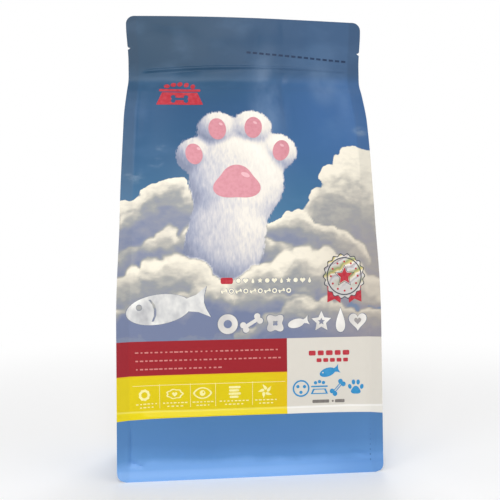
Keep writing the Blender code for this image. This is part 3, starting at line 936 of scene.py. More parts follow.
FIELDS = ("cloud_cover", "cloud_light", "paw_distance", "front_cover")
x_mm, y_mm, z_mm = pouch_points.T / MM
on_side = side_points()
on_front, on_back = (y_mm < 0.0) & ~on_side, (y_mm >= 0.0) & ~on_side
painted = {name: np.zeros(len(pouch_points)) for name in FIELDS}
for chosen, along, paint in ((on_front, x_mm, paint_front), (on_back, x_mm, paint_back),
                             (on_side, y_mm + np.sign(x_mm) * 4.0, paint_side)):
    for name, values in zip(FIELDS, paint(along[chosen], z_mm[chosen])):
        painted[name][chosen] = values
seam = root_half_width(pouch_points[:, 2]) / MM
painted["seal"] = smooth_step(0.2, 1.6, np.abs(x_mm) - seam) * ~on_side
for name, values in painted.items():
    layer = pouch_data.attributes.new(name, "FLOAT", "POINT")
    layer.data.foreach_set("value", values.astype(np.float32))
    print(name, "from", round(float(values.min()), 2), "to", round(float(values.max()), 2))

# %% [markdown]
# Everything printed is worked out from a point's own place on the pouch in millimetres. Three patterns
# come back again and again, so they are written first: that place, a random drift whose lumps have a
# size in millimetres, and a soft spot. A drift can be stretched, because film wrinkles and brush
# strokes are longer one way than the other.

# %% Patterns that the inks share
SMOOTH = {"interpolation_type": "SMOOTHSTEP"}
COLOURS = {"data_type": "RGBA"}
EVEN = (1.0, 1.0, 1.0)


def millimetres(tree):
    """A point's own X and Z in millimetres, and the whole position that the patterns read."""
    place = node(tree, "ShaderNodeTexCoord", out="Object")
    scaled = node(tree, VECTOR, {0: place, "Scale": 1.0 / MM}, 0, operation="SCALE")
    parts = node(tree, "ShaderNodeSeparateXYZ", {0: scaled})
    return parts.outputs[0], parts.outputs[2], scaled


def drift(tree, place, size, low=0.0, high=1.0, detail=3.0, stretch=EVEN):
    """A random field from low to high, with lumps about one size in millimetres across."""
    moved = node(tree, VECTOR, {0: place, 1: stretch}, 0, operation="MULTIPLY")
    lumps = node(tree, NOISE, {"Vector": moved, "Scale": 1.0 / size, "Detail": detail}, 0)
    return node(tree, RANGE, {0: lumps, 3: low, 4: high}, 0)


def soft_spot(tree, place, centre, reach):
    """1 in the middle of an ellipse on the panel and 0 from its rim outwards."""
    offset = node(tree, VECTOR, {0: place, 1: (centre[0], 0.0, centre[1])}, 0, operation="SUBTRACT")
    share = node(tree, VECTOR, {0: offset, 1: (1.0 / reach[0], 0.0, 1.0 / reach[1])}, 0,
                 operation="MULTIPLY")
    away = node(tree, VECTOR, {0: share}, "Value", operation="LENGTH")
    return node(tree, RANGE, {0: away, 1: 1.0, 2: 0.0}, 0, **SMOOTH)


print("patterns", [rule.__name__ for rule in (millimetres, drift, soft_spot)])

# %% [markdown]
# The print is built in layers from the back, and the sky is the first. It goes from haze at the
# clouds' feet through a deep blue to the dull header, and it is brighter on the right below the
# zip. Soft paler streaks over the sky under the zip are painted highlight along the film's folds
# there. A few shreds of thin cloud are torn by a drift. The ends of each range are places on the
# panel, in millimetres from the middle of its foot.

# %% The print: sky
SKY_STOPS = ((0.0, "#5482b6"), (0.13, "#5482b6"), (0.30, "#7e8498"), (0.42, "#64809e"), (0.54, "#3f6d90"),
             (0.66, "#325b80"), (0.78, "#2c5278"), (0.86, "#2a4f6e"), (0.92, "#284a66"), (1.0, "#24445e"))
# Painted highlight streaks under the zip: centre, reach and strength of each.
HIGHLIGHT_STREAKS = (((17.0, 284.0), (20.0, 70.0), 0.30), ((64.0, 305.0), (17.0, 27.0), 0.24),
           ((84.0, 292.0), (16.0, 40.0), 0.10))
WISPS = ((-66.0, 248.0, 7.0), (-71.0, 236.0, 8.0), (92.0, 264.0, 9.0), (-88.0, 226.0, 12.0))
WISP_SHARE = 0.45
SKY_HEIGHT = 360.0


def brighter_right(tree, base, across, height):
    """A clearer blue over the right half, below the zip."""
    right = node(tree, RANGE, {0: across, 1: -40.0, 2: 95.0, 4: 0.55}, 0, **SMOOTH)
    above = node(tree, RANGE, {0: height, 1: 190.0, 2: 260.0}, 0, **SMOOTH)
    below = node(tree, RANGE, {0: height, 1: 322.0, 2: 308.0}, 0, **SMOOTH)
    share = node(tree, MATH, {0: right, 1: above}, 0, operation="MULTIPLY")
    share = node(tree, MATH, {0: share, 1: below}, 0, operation="MULTIPLY")
    return node(tree, MIX, {0: share, 6: base, 7: colour("#466fa9")}, 2, **COLOURS)


def header_tint(tree, base, across, height):
    """The header's dull blue, which pales to the right."""
    right = node(tree, RANGE, {0: across, 1: -75.0, 2: 85.0}, 0, **SMOOTH)
    tint = node(tree, MIX, {0: right, 6: colour("#143a55"), 7: colour("#3d587a")}, 2, **COLOURS)
    share = node(tree, RANGE, {0: height, 1: 304.0, 2: 320.0, 4: 0.90}, 0, **SMOOTH)
    return node(tree, MIX, {0: share, 6: base, 7: tint}, 2, **COLOURS)


def streaks(tree, base, place):
    """Painted highlight: paler streaks under the zip, along the folds of the film."""
    broken = drift(tree, place, 20.0, stretch=(1.0, 1.0, 0.5))
    for centre, reach, strength in HIGHLIGHT_STREAKS:
        share = node(tree, RANGE, {0: broken, 1: 0.20, 2: 0.70, 4: strength}, 0, **SMOOTH)
        share = node(tree, MATH, {0: share, 1: soft_spot(tree, place, centre, reach)}, 0,
                     operation="MULTIPLY")
        base = node(tree, MIX, {0: share, 6: base, 7: colour("#9db4d0")}, 2, **COLOURS)
    return base


def sky(tree, across, height, place):
    """The whole sky with a thin haze that comes and goes."""
    share = node(tree, MATH, {0: height, 1: SKY_HEIGHT}, 0, operation="DIVIDE")
    base = node(tree, RAMP, {0: share}, 0, stops=SKY_STOPS)
    base = header_tint(tree, brighter_right(tree, base, across, height), across, height)
    haze = drift(tree, place, 42.0, stretch=(1.0, 1.0, 1.6))
    haze = node(tree, RANGE, {0: haze, 1: 0.45, 2: 0.75, 4: 0.18}, 0, **SMOOTH)
    base = streaks(tree, base, place)
    return node(tree, MIX, {0: haze, 6: base, 7: colour("#6484a8")}, 2, **COLOURS)


def wisps(tree, base, place):
    """A few shreds of thin cloud, each a soft spot that a drift tears apart."""
    torn = drift(tree, place, 10.0, stretch=(1.0, 1.0, 1.8))
    torn = node(tree, RANGE, {0: torn, 1: 0.38, 2: 0.78, 4: WISP_SHARE}, 0, **SMOOTH)
    for x, z, radius in WISPS:
        share = node(tree, MATH, {0: soft_spot(tree, place, (x, z), (radius, 0.7 * radius)), 1: torn}, 0,
                     operation="MULTIPLY")
        base = node(tree, MIX, {0: share, 6: base, 7: colour("#9fb0bc")}, 2, **COLOURS)
    return base


print("sky from", len(SKY_STOPS), "stops, with", len(HIGHLIGHT_STREAKS), "streaks and", len(WISPS), "wisps")

# %% [markdown]
# Clouds and fur share one light value but not one set of inks. Cloud shadows are lavender and its
# lights are cream, and fur is whiter. A fine drift roughens the edge of every puff and breaks the
# fur's outline into tufts that are longer than they are wide.

# %% The print: clouds and fur
CLOUD_STOPS = ((0.15, "#717b98"), (0.36, "#858a9c"), (0.54, "#969899"), (0.68, "#b0ada6"),
               (0.82, "#d4cec0"), (1.0, "#ede6d5"))
FUR_STOPS = ((0.15, "#7b8299"), (0.38, "#9ea2b4"), (0.56, "#c6c4c8"), (0.72, "#e4ded5"), (1.0, "#f5f0e5"))
ATTRIBUTE = "ShaderNodeAttribute"


def clouds(tree, base, across, height, place):
    """Painted clouds over the sky, warmer low on the right."""
    cover = node(tree, ATTRIBUTE, out="Fac", attribute_name="cloud_cover")
    light = node(tree, ATTRIBUTE, out="Fac", attribute_name="cloud_light")
    rough = drift(tree, place, 4.5, -0.45, 0.45, 5.0)
    stroke = drift(tree, place, 7.0, -0.17, 0.17, 4.0, (1.0, 1.0, 1.7))
    cover = node(tree, MATH, {0: cover, 1: rough}, 0, operation="ADD")
    light = node(tree, MATH, {0: light, 1: stroke}, 0, operation="ADD")
    ink = node(tree, RAMP, {0: light}, 0, stops=CLOUD_STOPS)
    right = node(tree, RANGE, {0: across, 1: 20.0, 2: 100.0, 4: 0.45}, 0, **SMOOTH)
    low = node(tree, RANGE, {0: height, 1: 240.0, 2: 150.0}, 0, **SMOOTH)
    warm = node(tree, MATH, {0: right, 1: low}, 0, operation="MULTIPLY")
    ink = node(tree, MIX, {0: warm, 6: ink, 7: colour("#a6978a")}, 2, **COLOURS)
    share = node(tree, RANGE, {0: cover, 1: 0.38, 2: 0.66}, 0, **SMOOTH)
    return node(tree, MIX, {0: share, 6: base, 7: ink}, 2, **COLOURS)


def fur(tree, base, place):
    """The paw's fur, behind the front row of clouds."""
    distance = node(tree, ATTRIBUTE, out="Fac", attribute_name="paw_distance")
    in_front = node(tree, ATTRIBUTE, out="Fac", attribute_name="front_cover")
    light = node(tree, ATTRIBUTE, out="Fac", attribute_name="cloud_light")
    tuft = drift(tree, place, 2.2, -2.5, 2.5, 3.0, (2.2, 1.0, 0.8))
    hair = drift(tree, place, 3.2, -0.15, 0.15, 4.0, (2.6, 1.0, 0.7))
    edge = node(tree, MATH, {0: distance, 1: tuft}, 0, operation="ADD")
    shape = node(tree, RANGE, {0: edge, 1: 0.5, 2: -0.5}, 0, **SMOOTH)
    hidden = node(tree, MATH, {0: tuft, 1: 0.1, 2: in_front}, 0, operation="MULTIPLY_ADD")
    seen = node(tree, RANGE, {0: hidden, 1: 0.65, 2: 0.35}, 0, **SMOOTH)
    share = node(tree, MATH, {0: shape, 1: seen}, 0, operation="MULTIPLY")
    light = node(tree, MATH, {0: light, 1: hair}, 0, operation="ADD")
    ink = node(tree, RAMP, {0: light}, 0, stops=FUR_STOPS)
    return node(tree, MIX, {0: share, 6: base, 7: ink}, 2, **COLOURS)


print("cloud inks", len(CLOUD_STOPS), "and fur inks", len(FUR_STOPS))

# %% [markdown]
# Flat bands of spot colour lie over the sky: blue at the foot, then yellow and red. They run level on
# the flat web, but on the standing pouch they hang down a little towards the fins, and most at the
# foot. One rule gives that droop to the small prints further on, and the same rule is written here
# as nodes.

# %% The print: how level lines hang
DROOP, DROOP_LOSS, DROOP_POWER, DROOP_MIDDLE, DROOP_REACH = 5.0, 0.033, 2.6, 2.0, 98.0


def print_droop(across, height):
    """How far a level line of print hangs down beside the middle, in millimetres."""
    most = np.maximum(DROOP - DROOP_LOSS * height, 0.0)
    return most * (np.abs(across - DROOP_MIDDLE) / DROOP_REACH) ** DROOP_POWER


def web_height(tree, across, height):
    """The height on the flat web of a point of the standing pouch."""
    most = node(tree, MATH, {0: height, 1: -DROOP_LOSS, 2: DROOP}, 0, operation="MULTIPLY_ADD")
    most = node(tree, MATH, {0: most, 1: 0.0}, 0, operation="MAXIMUM")
    beside = node(tree, MATH, {0: across, 1: DROOP_MIDDLE}, 0, operation="SUBTRACT")
    beside = node(tree, MATH, {0: beside}, 0, operation="ABSOLUTE")
    beside = node(tree, MATH, {0: beside, 1: DROOP_REACH}, 0, operation="DIVIDE")
    beside = node(tree, MATH, {0: beside, 1: DROOP_POWER}, 0, operation="POWER")
    return node(tree, MATH, {0: beside, 1: most, 2: height}, 0, operation="MULTIPLY_ADD")


print("a line at the foot hangs", round(float(print_droop(-95.0, 10.0)), 1), "mm at the left fin")

# %% [markdown]
# Each spot colour has its own small drift of tone, as a gravure print has. Yellow is warmer where it
# was printed over red. The blue is palest at the foot, as painted light where the skirts turn out to
# the light from the table, and painted shade darkens it low on the right. The ledge over the flat
# bottom catches the light, so its inks are made paler as painted highlight, palest along its crest.

# %% The print: spot colours
# Painted light: the palest stops at the foot stand for the light that the table throws on the skirts.
BLUE_STOPS = ((0.0, "#7cabe4"), (0.20, "#74a3dc"), (0.30, "#5c8dc4"), (0.50, "#517fb4"), (1.0, "#4b78a8"))
BLUE_TOP, YELLOW_TOP, RED_TOP, WHITE_EDGE = 47.1, 78.4, 103.1, 25.7
EDGE_SOFT = 0.12
MOTTLE_SIZE, MOTTLE_SHARE = 5.0, 0.16
LEDGE_BOW = 0.0002
LEDGE_LOW, LEDGE_HIGH, LEDGE_SHARE = 50.9, 51.6, 0.35
CREST_UPPER, CREST_LOWER, CREST_SHARE = (51.8, 52.4), (50.4, 51.2), 0.42
YELLOW_EDGE = (0.9, 0.1)


def past(tree, value, edge, soft=EDGE_SOFT):
    """0 before an edge of print and 1 past it, or the other way round if soft is below 0."""
    return node(tree, RANGE, {0: value, 1: edge - soft, 2: edge + soft}, 0, **SMOOTH)


def mottled(tree, place, fresh, worn):
    """A spot colour that drifts a little towards a duller one."""
    mottle = drift(tree, place, MOTTLE_SIZE, 0.0, MOTTLE_SHARE, 4.0)
    return node(tree, MIX, {0: mottle, 6: colour(fresh), 7: colour(worn)}, 2, **COLOURS)


def yellow_ink(tree, across, level, place):
    """Yellow that turns to orange beside the white field and along its upper edge."""
    ink = mottled(tree, place, "#dac406", "#bba914")
    warm = node(tree, RANGE, {0: across, 1: 4.0, 2: 24.0, 4: 0.30}, 0, **SMOOTH)
    ink = node(tree, MIX, {0: warm, 6: ink, 7: colour("#e0a814")}, 2, **COLOURS)
    low, high = (YELLOW_TOP - below for below in YELLOW_EDGE)
    edge = node(tree, RANGE, {0: level, 1: low, 2: high, 4: 0.55}, 0, **SMOOTH)
    return node(tree, MIX, {0: edge, 6: ink, 7: colour("#d98a1e")}, 2, **COLOURS)


def blue_ink(tree, across, height, place):
    """The blue of the foot, with painted light from the table and painted shade low on the right."""
    moved = node(tree, MATH, {0: height, 1: drift(tree, place, 26.0, -4.5, 4.5)}, 0, operation="ADD")
    share = node(tree, MATH, {0: moved, 1: 50.0}, 0, operation="DIVIDE")
    ink = node(tree, RAMP, {0: share}, 0, stops=BLUE_STOPS)
    # Painted shade: low on the right the blue is mixed towards a darker blue.
    right = node(tree, RANGE, {0: across, 1: 30.0, 2: 95.0, 4: 0.7}, 0, **SMOOTH)
    low = node(tree, RANGE, {0: height, 1: 20.0, 2: 6.0}, 0, **SMOOTH)
    dull = node(tree, MATH, {0: right, 1: low}, 0, operation="MULTIPLY")
    return node(tree, MIX, {0: dull, 6: ink, 7: colour("#5788c4")}, 2, **COLOURS)


def ledge_light(tree, across, height, raised):
    """Painted highlight: how much paler the ink is on the ledge over the flat bottom, and along its crest.
    """
    square = node(tree, MATH, {0: across, 1: across}, 0, operation="MULTIPLY")
    over = node(tree, MATH, {0: square, 1: LEDGE_BOW, 2: height}, 0, operation="MULTIPLY_ADD")
    over = node(tree, MATH, {0: over, 1: raised}, 0, operation="SUBTRACT")
    ledge = node(tree, RANGE, {0: over, 1: LEDGE_HIGH, 2: LEDGE_LOW, 4: LEDGE_SHARE}, 0, **SMOOTH)
    upper = node(tree, RANGE, {0: over, 1: CREST_UPPER[1], 2: CREST_UPPER[0]}, 0, **SMOOTH)
    lower = node(tree, RANGE, {0: over, 1: CREST_LOWER[0], 2: CREST_LOWER[1], 4: CREST_SHARE}, 0, **SMOOTH)
    return ledge, node(tree, MATH, {0: upper, 1: lower}, 0, operation="MULTIPLY")


def white_field(tree, below, across, level, place, lights):
    """The white field at the right of the bands, which ends where the red does."""
    white = mottled(tree, place, "#d6d1c7", "#c2bdb4")
    # Painted highlight: the white is paler on the ledge and palest along its crest.
    for share, pale in zip(lights, ("#f5f3ee", "#ffffff")):
        white = node(tree, MIX, {0: share, 6: white, 7: colour(pale)}, 2, **COLOURS)
    right, low = past(tree, across, WHITE_EDGE), past(tree, level, RED_TOP, -EDGE_SOFT)
    share = node(tree, MATH, {0: right, 1: low}, 0, operation="MULTIPLY")
    return node(tree, MIX, {0: share, 6: below, 7: white}, 2, **COLOURS)


def bands(tree, base, across, height, place, in_front):
    """Spot colours over the sky: blue at the foot, then yellow, red and, in front, a white field."""
    level = web_height(tree, across, height)
    past_blue, past_yellow, past_red = (past(tree, level, top) for top in (BLUE_TOP, YELLOW_TOP, RED_TOP))
    # The painted highlights of the ledge, for the yellow and the white.
    lights = ledge_light(tree, across, height, 0.0 if in_front else BACK_LEDGE_RISE / MM)
    red = mottled(tree, place, "#981d27", "#741820")
    yellow = yellow_ink(tree, across, level, place)
    # Painted highlight: the yellow is paler on the ledge and palest along its crest.
    for share, pale in zip(lights, ("#ecdc0c", "#f4ee7a")):
        yellow = node(tree, MIX, {0: share, 6: yellow, 7: colour(pale)}, 2, **COLOURS)
    ink = node(tree, MIX, {0: past_red, 6: red, 7: base}, 2, **COLOURS)
    ink = node(tree, MIX, {0: past_yellow, 6: yellow, 7: ink}, 2, **COLOURS)
    if in_front:
        ink = white_field(tree, ink, across, level, place, lights)
    blue = blue_ink(tree, across, height, place)
    return node(tree, MIX, {0: past_blue, 6: blue, 7: ink}, 2, **COLOURS)


print("bands end at", BLUE_TOP, YELLOW_TOP, RED_TOP, "mm")

# %% [markdown]
# The back repeats the bands, and over its sky stands a pale field for a feeding table. The distance
# to a smaller rectangle gives it round corners.

# %% The print: the field on the back
BACK_FIELD = (-66.0, 66.0, 192.0, 280.0)
BACK_FIELD_CORNER = 5.0
NO_LIMIT = 1000.0


def back_field(tree, base, place):
    """The pale field on the back, with rounded corners."""
    low_x, high_x, low_z, high_z = BACK_FIELD
    middle = (0.5 * (low_x + high_x), 0.0, 0.5 * (low_z + high_z))
    half_x, half_z = (0.5 * size - BACK_FIELD_CORNER for size in (high_x - low_x, high_z - low_z))
    offset = node(tree, VECTOR, {0: place, 1: middle}, 0, operation="SUBTRACT")
    offset = node(tree, VECTOR, {0: offset}, 0, operation="ABSOLUTE")
    over = node(tree, VECTOR, {0: offset, 1: (half_x, NO_LIMIT, half_z)}, 0, operation="SUBTRACT")
    over = node(tree, VECTOR, {0: over, 1: (0.0, 0.0, 0.0)}, 0, operation="MAXIMUM")
    away = node(tree, VECTOR, {0: over}, "Value", operation="LENGTH")
    share = past(tree, away, BACK_FIELD_CORNER, -EDGE_SOFT)
    return node(tree, MIX, {0: share, 6: base, 7: colour("#dcd8ce")}, 2, **COLOURS)


print("field on the back", BACK_FIELD[1] - BACK_FIELD[0], "by", BACK_FIELD[3] - BACK_FIELD[2], "mm")

# %% [markdown]
# The film is a matt laminate: ink is printed on the inside of a clear polyester web, which gives it
# an IOR of about 1.55 and a soft, wide highlight. Ripples of a few centimetres and a faint tooth make
# that highlight uneven. Where the sealing jaws pressed, the film carries the jaws' fine grid.

# %% The film's finish
FILM_IOR = 1.55
FILM_ROUGHNESS = 0.34
FILM_GLOSS = 0.18
KNURL_PITCH = 1.6
KNURL_HEIGHT = 0.05
BUMP_STRENGTH = 0.35


def knurl(tree, place, seal):
    """The fine grid that the sealing jaws press into a weld."""
    turns = node(tree, VECTOR, {0: place, "Scale": 2.0 * math.pi / KNURL_PITCH}, 0, operation="SCALE")
    waves = node(tree, VECTOR, {0: turns}, 0, operation="SINE")
    parts = node(tree, "ShaderNodeSeparateXYZ", {0: waves}).outputs
    grid = node(tree, MATH, {0: parts[0], 1: parts[2]}, 0, operation="MULTIPLY")
    return node(tree, MATH, {0: grid, 1: seal}, 0, operation="MULTIPLY")


def film_finish(tree, ink, place, roughness=FILM_ROUGHNESS, metal=0.0, grid=0.0):
    """Clear laminate over the ink, with the ripples that catch the light."""
    tooth = drift(tree, place, 0.9, 0.0, 0.02, 2.0)
    ripple = drift(tree, place, 16.0, 0.0, 0.35, 3.0, (1.0, 1.0, 0.6))
    height = node(tree, MATH, {0: tooth, 1: ripple}, 0, operation="ADD")
    height = node(tree, MATH, {0: grid, 1: KNURL_HEIGHT, 2: height}, 0, operation="MULTIPLY_ADD")
    bumps = node(tree, "ShaderNodeBump", {"Height": height, "Strength": BUMP_STRENGTH, "Distance": MM}, 0)
    shader = node(tree, "ShaderNodeBsdfPrincipled",
                  {"Base Color": ink, "Roughness": roughness, "Metallic": metal, "IOR": FILM_IOR,
                   "Specular IOR Level": FILM_GLOSS, "Normal": bumps}, 0)
    node(tree, "ShaderNodeOutputMaterial", {"Surface": shader})


def new_material(name):
    """An empty node material."""
    material = bpy.data.materials.new(name)
    material.use_nodes = True
    material.node_tree.nodes.clear()
    return material


print("film with an IOR of", FILM_IOR, "and a roughness of", FILM_ROUGHNESS)

# %% [markdown]
# Now the layers are put over one another for each face of the pouch. Over the welded fins the ink
# is darkened as painted shade, more so high up. The laminate's cut edge is a finish of its own,
# because its core shows there as a thin grey line.

# %% The printed faces
CUT_EDGE_ROUGHNESS = 0.5


def fin_painted_shade(tree, ink, height, seal):
    """Painted shade: ink darkened over the welded fins, and more so high up."""
    share = node(tree, RANGE, {0: height, 1: 190.0, 2: 240.0, 3: 0.06, 4: 0.22}, 0, **SMOOTH)
    share = node(tree, MATH, {0: share, 1: seal}, 0, operation="MULTIPLY")
    return node(tree, MIX, {0: share, 6: ink, 7: colour("#27384c")}, 2, **COLOURS)


def printed_film(name, front=False, back=False):
    """One face of the pouch in printed matt laminate."""
    material = new_material(name)
    tree = material.node_tree
    across, height, place = millimetres(tree)
    ink = sky(tree, across, height, place)
    if front:
        ink = wisps(tree, ink, place)
    ink = clouds(tree, ink, across, height, place)
    if front:
        ink = fur(tree, ink, place)
    if back:
        ink = back_field(tree, ink, place)
    if front or back:
        ink = bands(tree, ink, across, height, place, front)
    seal = node(tree, ATTRIBUTE, out="Fac", attribute_name="seal")
    # Painted shade darkens the ink over the welded fins.
    film_finish(tree, fin_painted_shade(tree, ink, height, seal), place, grid=knurl(tree, place, seal))
    return material


def cut_edge_film():
    """The bare edge of the laminate, where its white core and metal layer show as a grey line."""
    material = new_material("cut_laminate_edge")
    tree = material.node_tree
    place = millimetres(tree)[2]
    ink = node(tree, MIX, {0: drift(tree, place, 3.0), 6: colour("#8f9aa8"), 7: colour("#b9bfc6")}, 2,
               **COLOURS)
    film_finish(tree, ink, place, CUT_EDGE_ROUGHNESS)
    return material


pouch_data.materials.append(printed_film("matt_printed_film_front", front=True))
pouch_data.materials.append(printed_film("matt_printed_film_back", back=True))
pouch_data.materials.append(printed_film("matt_printed_film_gusset"))
pouch_data.materials.append(cut_edge_film())
print("finishes", [m.name for m in pouch_data.materials])

# %% [markdown]
# Each visible piece moves with the body that it belongs to. One short function attaches it, and
# the film is the first piece. It stands in for the imported solid.

# %% Mount the pouch
def mount(piece):
    """Let a piece ride on the pouch's body."""
    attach(piece, "root")
    print(piece.name, len(piece.data.polygons), "faces")


mount(pouch)
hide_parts("food_bag")

# %% [markdown]
# Small prints have crisp edges, so they are thin pieces of their own: a slip of ink that lies a tenth
# of a millimetre proud. Each is drawn flat, in millimetres on the panel, and filled with triangles
# that are small enough to bend with the film. The panel's own rule then puts them in place. A slip
# that lies over another one is lifted by one layer.

# %% Lay flat shapes on the film
PRINT_STEP = 2.0
INK_PROUD, INK_DEEP, INK_LAYER = 0.00012, 0.00008, 0.00005
SHARP_INK_ANGLE = math.radians(40.0)


def inside(loops, x, z):
    """Whether points lie inside a set of loops. A loop within another one is a hole."""
    odd = np.zeros(x.shape, bool)
    for loop in loops:
        for (start_x, start_z), (end_x, end_z) in zip(loop, loop[1:] + loop[:1]):
            if start_z != end_z:
                reach = start_x + (z - start_z) * (end_x - start_x) / (end_z - start_z)
                odd ^= ((start_z > z) != (end_z > z)) & (x < reach)
    return odd


def split_edges(loop):
    """The same loop with points along its long edges, so that they bend with the film too."""
    points = []
    for (start_x, start_z), (end_x, end_z) in zip(loop, loop[1:] + loop[:1]):
        count = max(1, math.ceil(math.hypot(end_x - start_x, end_z - start_z) / PRINT_STEP))
        for i in range(count):
            share = i / count
            points.append((start_x + (end_x - start_x) * share, start_z + (end_z - start_z) * share))
    return points


def fill(loops):
    """Flat points, and the triangles that fill the loops."""
    points, edges = [], []
    for loop in map(split_edges, loops):
        first, count = len(points), len(loop)
        points += loop
        edges += [(first + i, first + (i + 1) % count) for i in range(count)]
    low, high = np.min(points, axis=0), np.max(points, axis=0)
    across, up = (np.arange(low[k] + PRINT_STEP / 2.0, high[k], PRINT_STEP) for k in (0, 1))
    points = points + [(x, z) for x in across for z in up]
    flat, _, triangles, *_ = delaunay_2d_cdt([Vector(p) for p in points], edges, [], 0, 1e-4)
    flat, triangles = np.array([tuple(p) for p in flat]), np.array(triangles)
    middle_x, middle_z = flat[triangles].mean(axis=1).T
    used, kept = np.unique(triangles[inside(loops, middle_x, middle_z)], return_inverse=True)
    return flat[used], kept.reshape(-1, 3)


def slip(loops, layer, side):
    """Points and faces of one closed slip of ink on a panel."""
    flat, top = fill(loops)
    x, z = flat[:, 0], flat[:, 1] - print_droop(*flat.T)
    upper = panel_point(x * MM, z * MM, side, -INK_PROUD - INK_LAYER * layer)
    lower = panel_point(x * MM, z * MM, side, INK_DEEP)
    edges = {(int(t[k]), int(t[(k + 1) % 3])) for t in top for k in range(3)}
    rim = sorted(edge for edge in edges if edge[::-1] not in edges)
    count = len(flat)
    walls = [(b, a, a + count, b + count) for a, b in rim]
    faces = top.tolist() + (top[:, ::-1] + count).tolist() + walls
    return np.concatenate([upper, lower]), faces if side < 0 else [face[::-1] for face in faces]


def print_piece(name, shapes, material, layer=0, side=-1):
    """One piece from several flat shapes, each a list of loops."""
    points, faces = [], []
    for loops in shapes:
        start = sum(len(p) for p in points)
        own_points, own_faces = slip(loops, layer, side)
        points.append(own_points)
        faces += [[start + corner for corner in face] for face in own_faces]
    data = bpy.data.meshes.new(name)
    data.from_pydata(np.concatenate(points), [], faces)
    data.shade_smooth()
    data.set_sharp_from_angle(angle=SHARP_INK_ANGLE)
    data.materials.append(material)
    piece = bpy.data.objects.new(name, data)
    bpy.context.scene.collection.objects.link(piece)
    mount(piece)


print("ink stands", INK_PROUD / MM, "mm proud")

# %% [markdown]
# The motifs come from a small library of outlines. Each is a curve or a few arcs at unit size, which
# one function scales, turns and moves. Curves with a formula, such as the heart, need no list of
# points, and a fish is an ellipse that runs into a forked tail.

# %% Outlines of the motifs
STAR_POINTS, STAR_WAIST = 5, 0.48


def turned(points, centre, size, turn=0.0):
    """A unit outline, scaled by size, turned by degrees and moved to its centre."""
    angle = math.radians(turn)
    size_x, size_z = size if isinstance(size, tuple) else (size, size)
    moved = []
    for x, z in points:
        x, z = x * size_x, z * size_z
        moved.append((centre[0] + x * math.cos(angle) - z * math.sin(angle),
                      centre[1] + x * math.sin(angle) + z * math.cos(angle)))
    return moved


def curve(rule, count):
    """Points of a closed curve, anticlockwise, from a rule that takes the angle."""
    return [rule(2.0 * math.pi * i / count) for i in range(count)]


def around(centre, reach, turn):
    """The point at a distance from a centre, at an angle in degrees."""
    angle = math.radians(turn)
    return (centre[0] + reach * math.cos(angle), centre[1] + reach * math.sin(angle))


def disc(centre, size, turn=0.0, count=32):
    """A circle, or an ellipse when its size is a pair."""
    return turned(curve(lambda t: (math.cos(t), math.sin(t)), count), centre, size, turn)


def heart(centre, size, turn=0.0):
    """The heart curve, point down."""
    def rule(t):
        height = 13.0 * math.cos(t) - 5.0 * math.cos(2.0 * t) - 2.0 * math.cos(3.0 * t) - math.cos(4.0 * t)
        return (math.sin(t) ** 3, height / 16.0)
    return turned(curve(rule, 56)[::-1], centre, size, turn)


def flower(centre, size, petals, depth, turn=0.0, count=96):
    """A circle with a wavy edge, as many waves as petals."""
    def rule(t):
        reach = 1.0 - depth * (0.5 - 0.5 * math.cos(petals * t))
        return (reach * math.cos(t), reach * math.sin(t))
    return turned(curve(rule, count), centre, size, turn)


def star(centre, size, turn=0.0):
    """A star, point up, whose inner corners lie at its waist."""
    outline = []
    for i in range(2 * STAR_POINTS):
        angle = math.pi * (i / STAR_POINTS + 0.5)
        reach = 1.0 if i % 2 == 0 else STAR_WAIST
        outline.append((reach * math.cos(angle), reach * math.sin(angle)))
    return turned(outline, centre, size, turn)


def drop(centre, size, turn=0.0):
    """A drop, point up."""
    def rule(t):
        return (0.72 * math.sin(t) * math.sin(0.5 * t) ** 1.5, math.cos(t))
    return turned(curve(rule, 40)[::-1], centre, size, turn)


def bar(centre, length, width, turn=0.0, corner=1.0):
    """A bar with round ends, or with smaller corners."""
    radius = 0.5 * width * corner
    outline = []
    for k, (side_x, side_z) in enumerate(((1, 1), (-1, 1), (-1, -1), (1, -1))):
        for i in range(7):
            angle = 0.5 * math.pi * (k + i / 6.0)
            outline.append((side_x * (0.5 * length - radius) + radius * math.cos(angle),
                            side_z * (0.5 * width - radius) + radius * math.sin(angle)))
    return turned(outline, centre, 1.0, turn)


def bone(centre, size, turn=0.0):
    """A shaft with two round knobs at each end."""
    knob_x, knob_z, radius, shaft = 0.72, 0.23, 0.27, 0.16
    start, stop = math.pi - math.asin((shaft - knob_z) / radius), -math.asin(knob_z / radius)
    steps = [start + (stop - start) * i / 14.0 for i in range(15)]
    knob = [(knob_x + radius * math.cos(a), knob_z + radius * math.sin(a)) for a in steps]
    right = knob + [(x, -z) for x, z in reversed(knob)]
    return turned((right + [(-x, z) for x, z in reversed(right)])[::-1], centre, size, turn)


def fish(centre, size, turn=0.0):
    """An ellipse that runs into a forked tail. The head points to -X."""
    root = math.acos(0.90)
    steps = [root + (2.0 * math.pi - 2.0 * root) * i / 40.0 for i in range(41)]
    body = [(-0.22 + 0.78 * math.cos(a), 0.40 * math.sin(a)) for a in steps]
    lower_tail = [(0.72, -0.24), (0.98, -0.42), (0.90, -0.18)]
    upper_tail = [(x, -z) for x, z in reversed(lower_tail)]
    return turned(body + lower_tail + [(0.87, 0.0)] + upper_tail, centre, size, turn)


def paw_print(centre, size):
    """A pad and four toes, as separate outlines."""
    heel = [(0.62 * x, 0.50 * z - 0.32) for x, z in flower((0.0, 0.0), 1.0, 3, 0.22, 90.0, 48)]
    outlines = [[turned(heel, centre, size)]]
    for x, z, lean in ((-0.72, 0.12, 18.0), (-0.28, 0.62, 6.0), (0.28, 0.62, -6.0), (0.72, 0.12, -18.0)):
        toe = (centre[0] + x * size, centre[1] + z * size)
        outlines.append([disc(toe, (0.21 * size, 0.29 * size), lean, 20)])
    return outlines


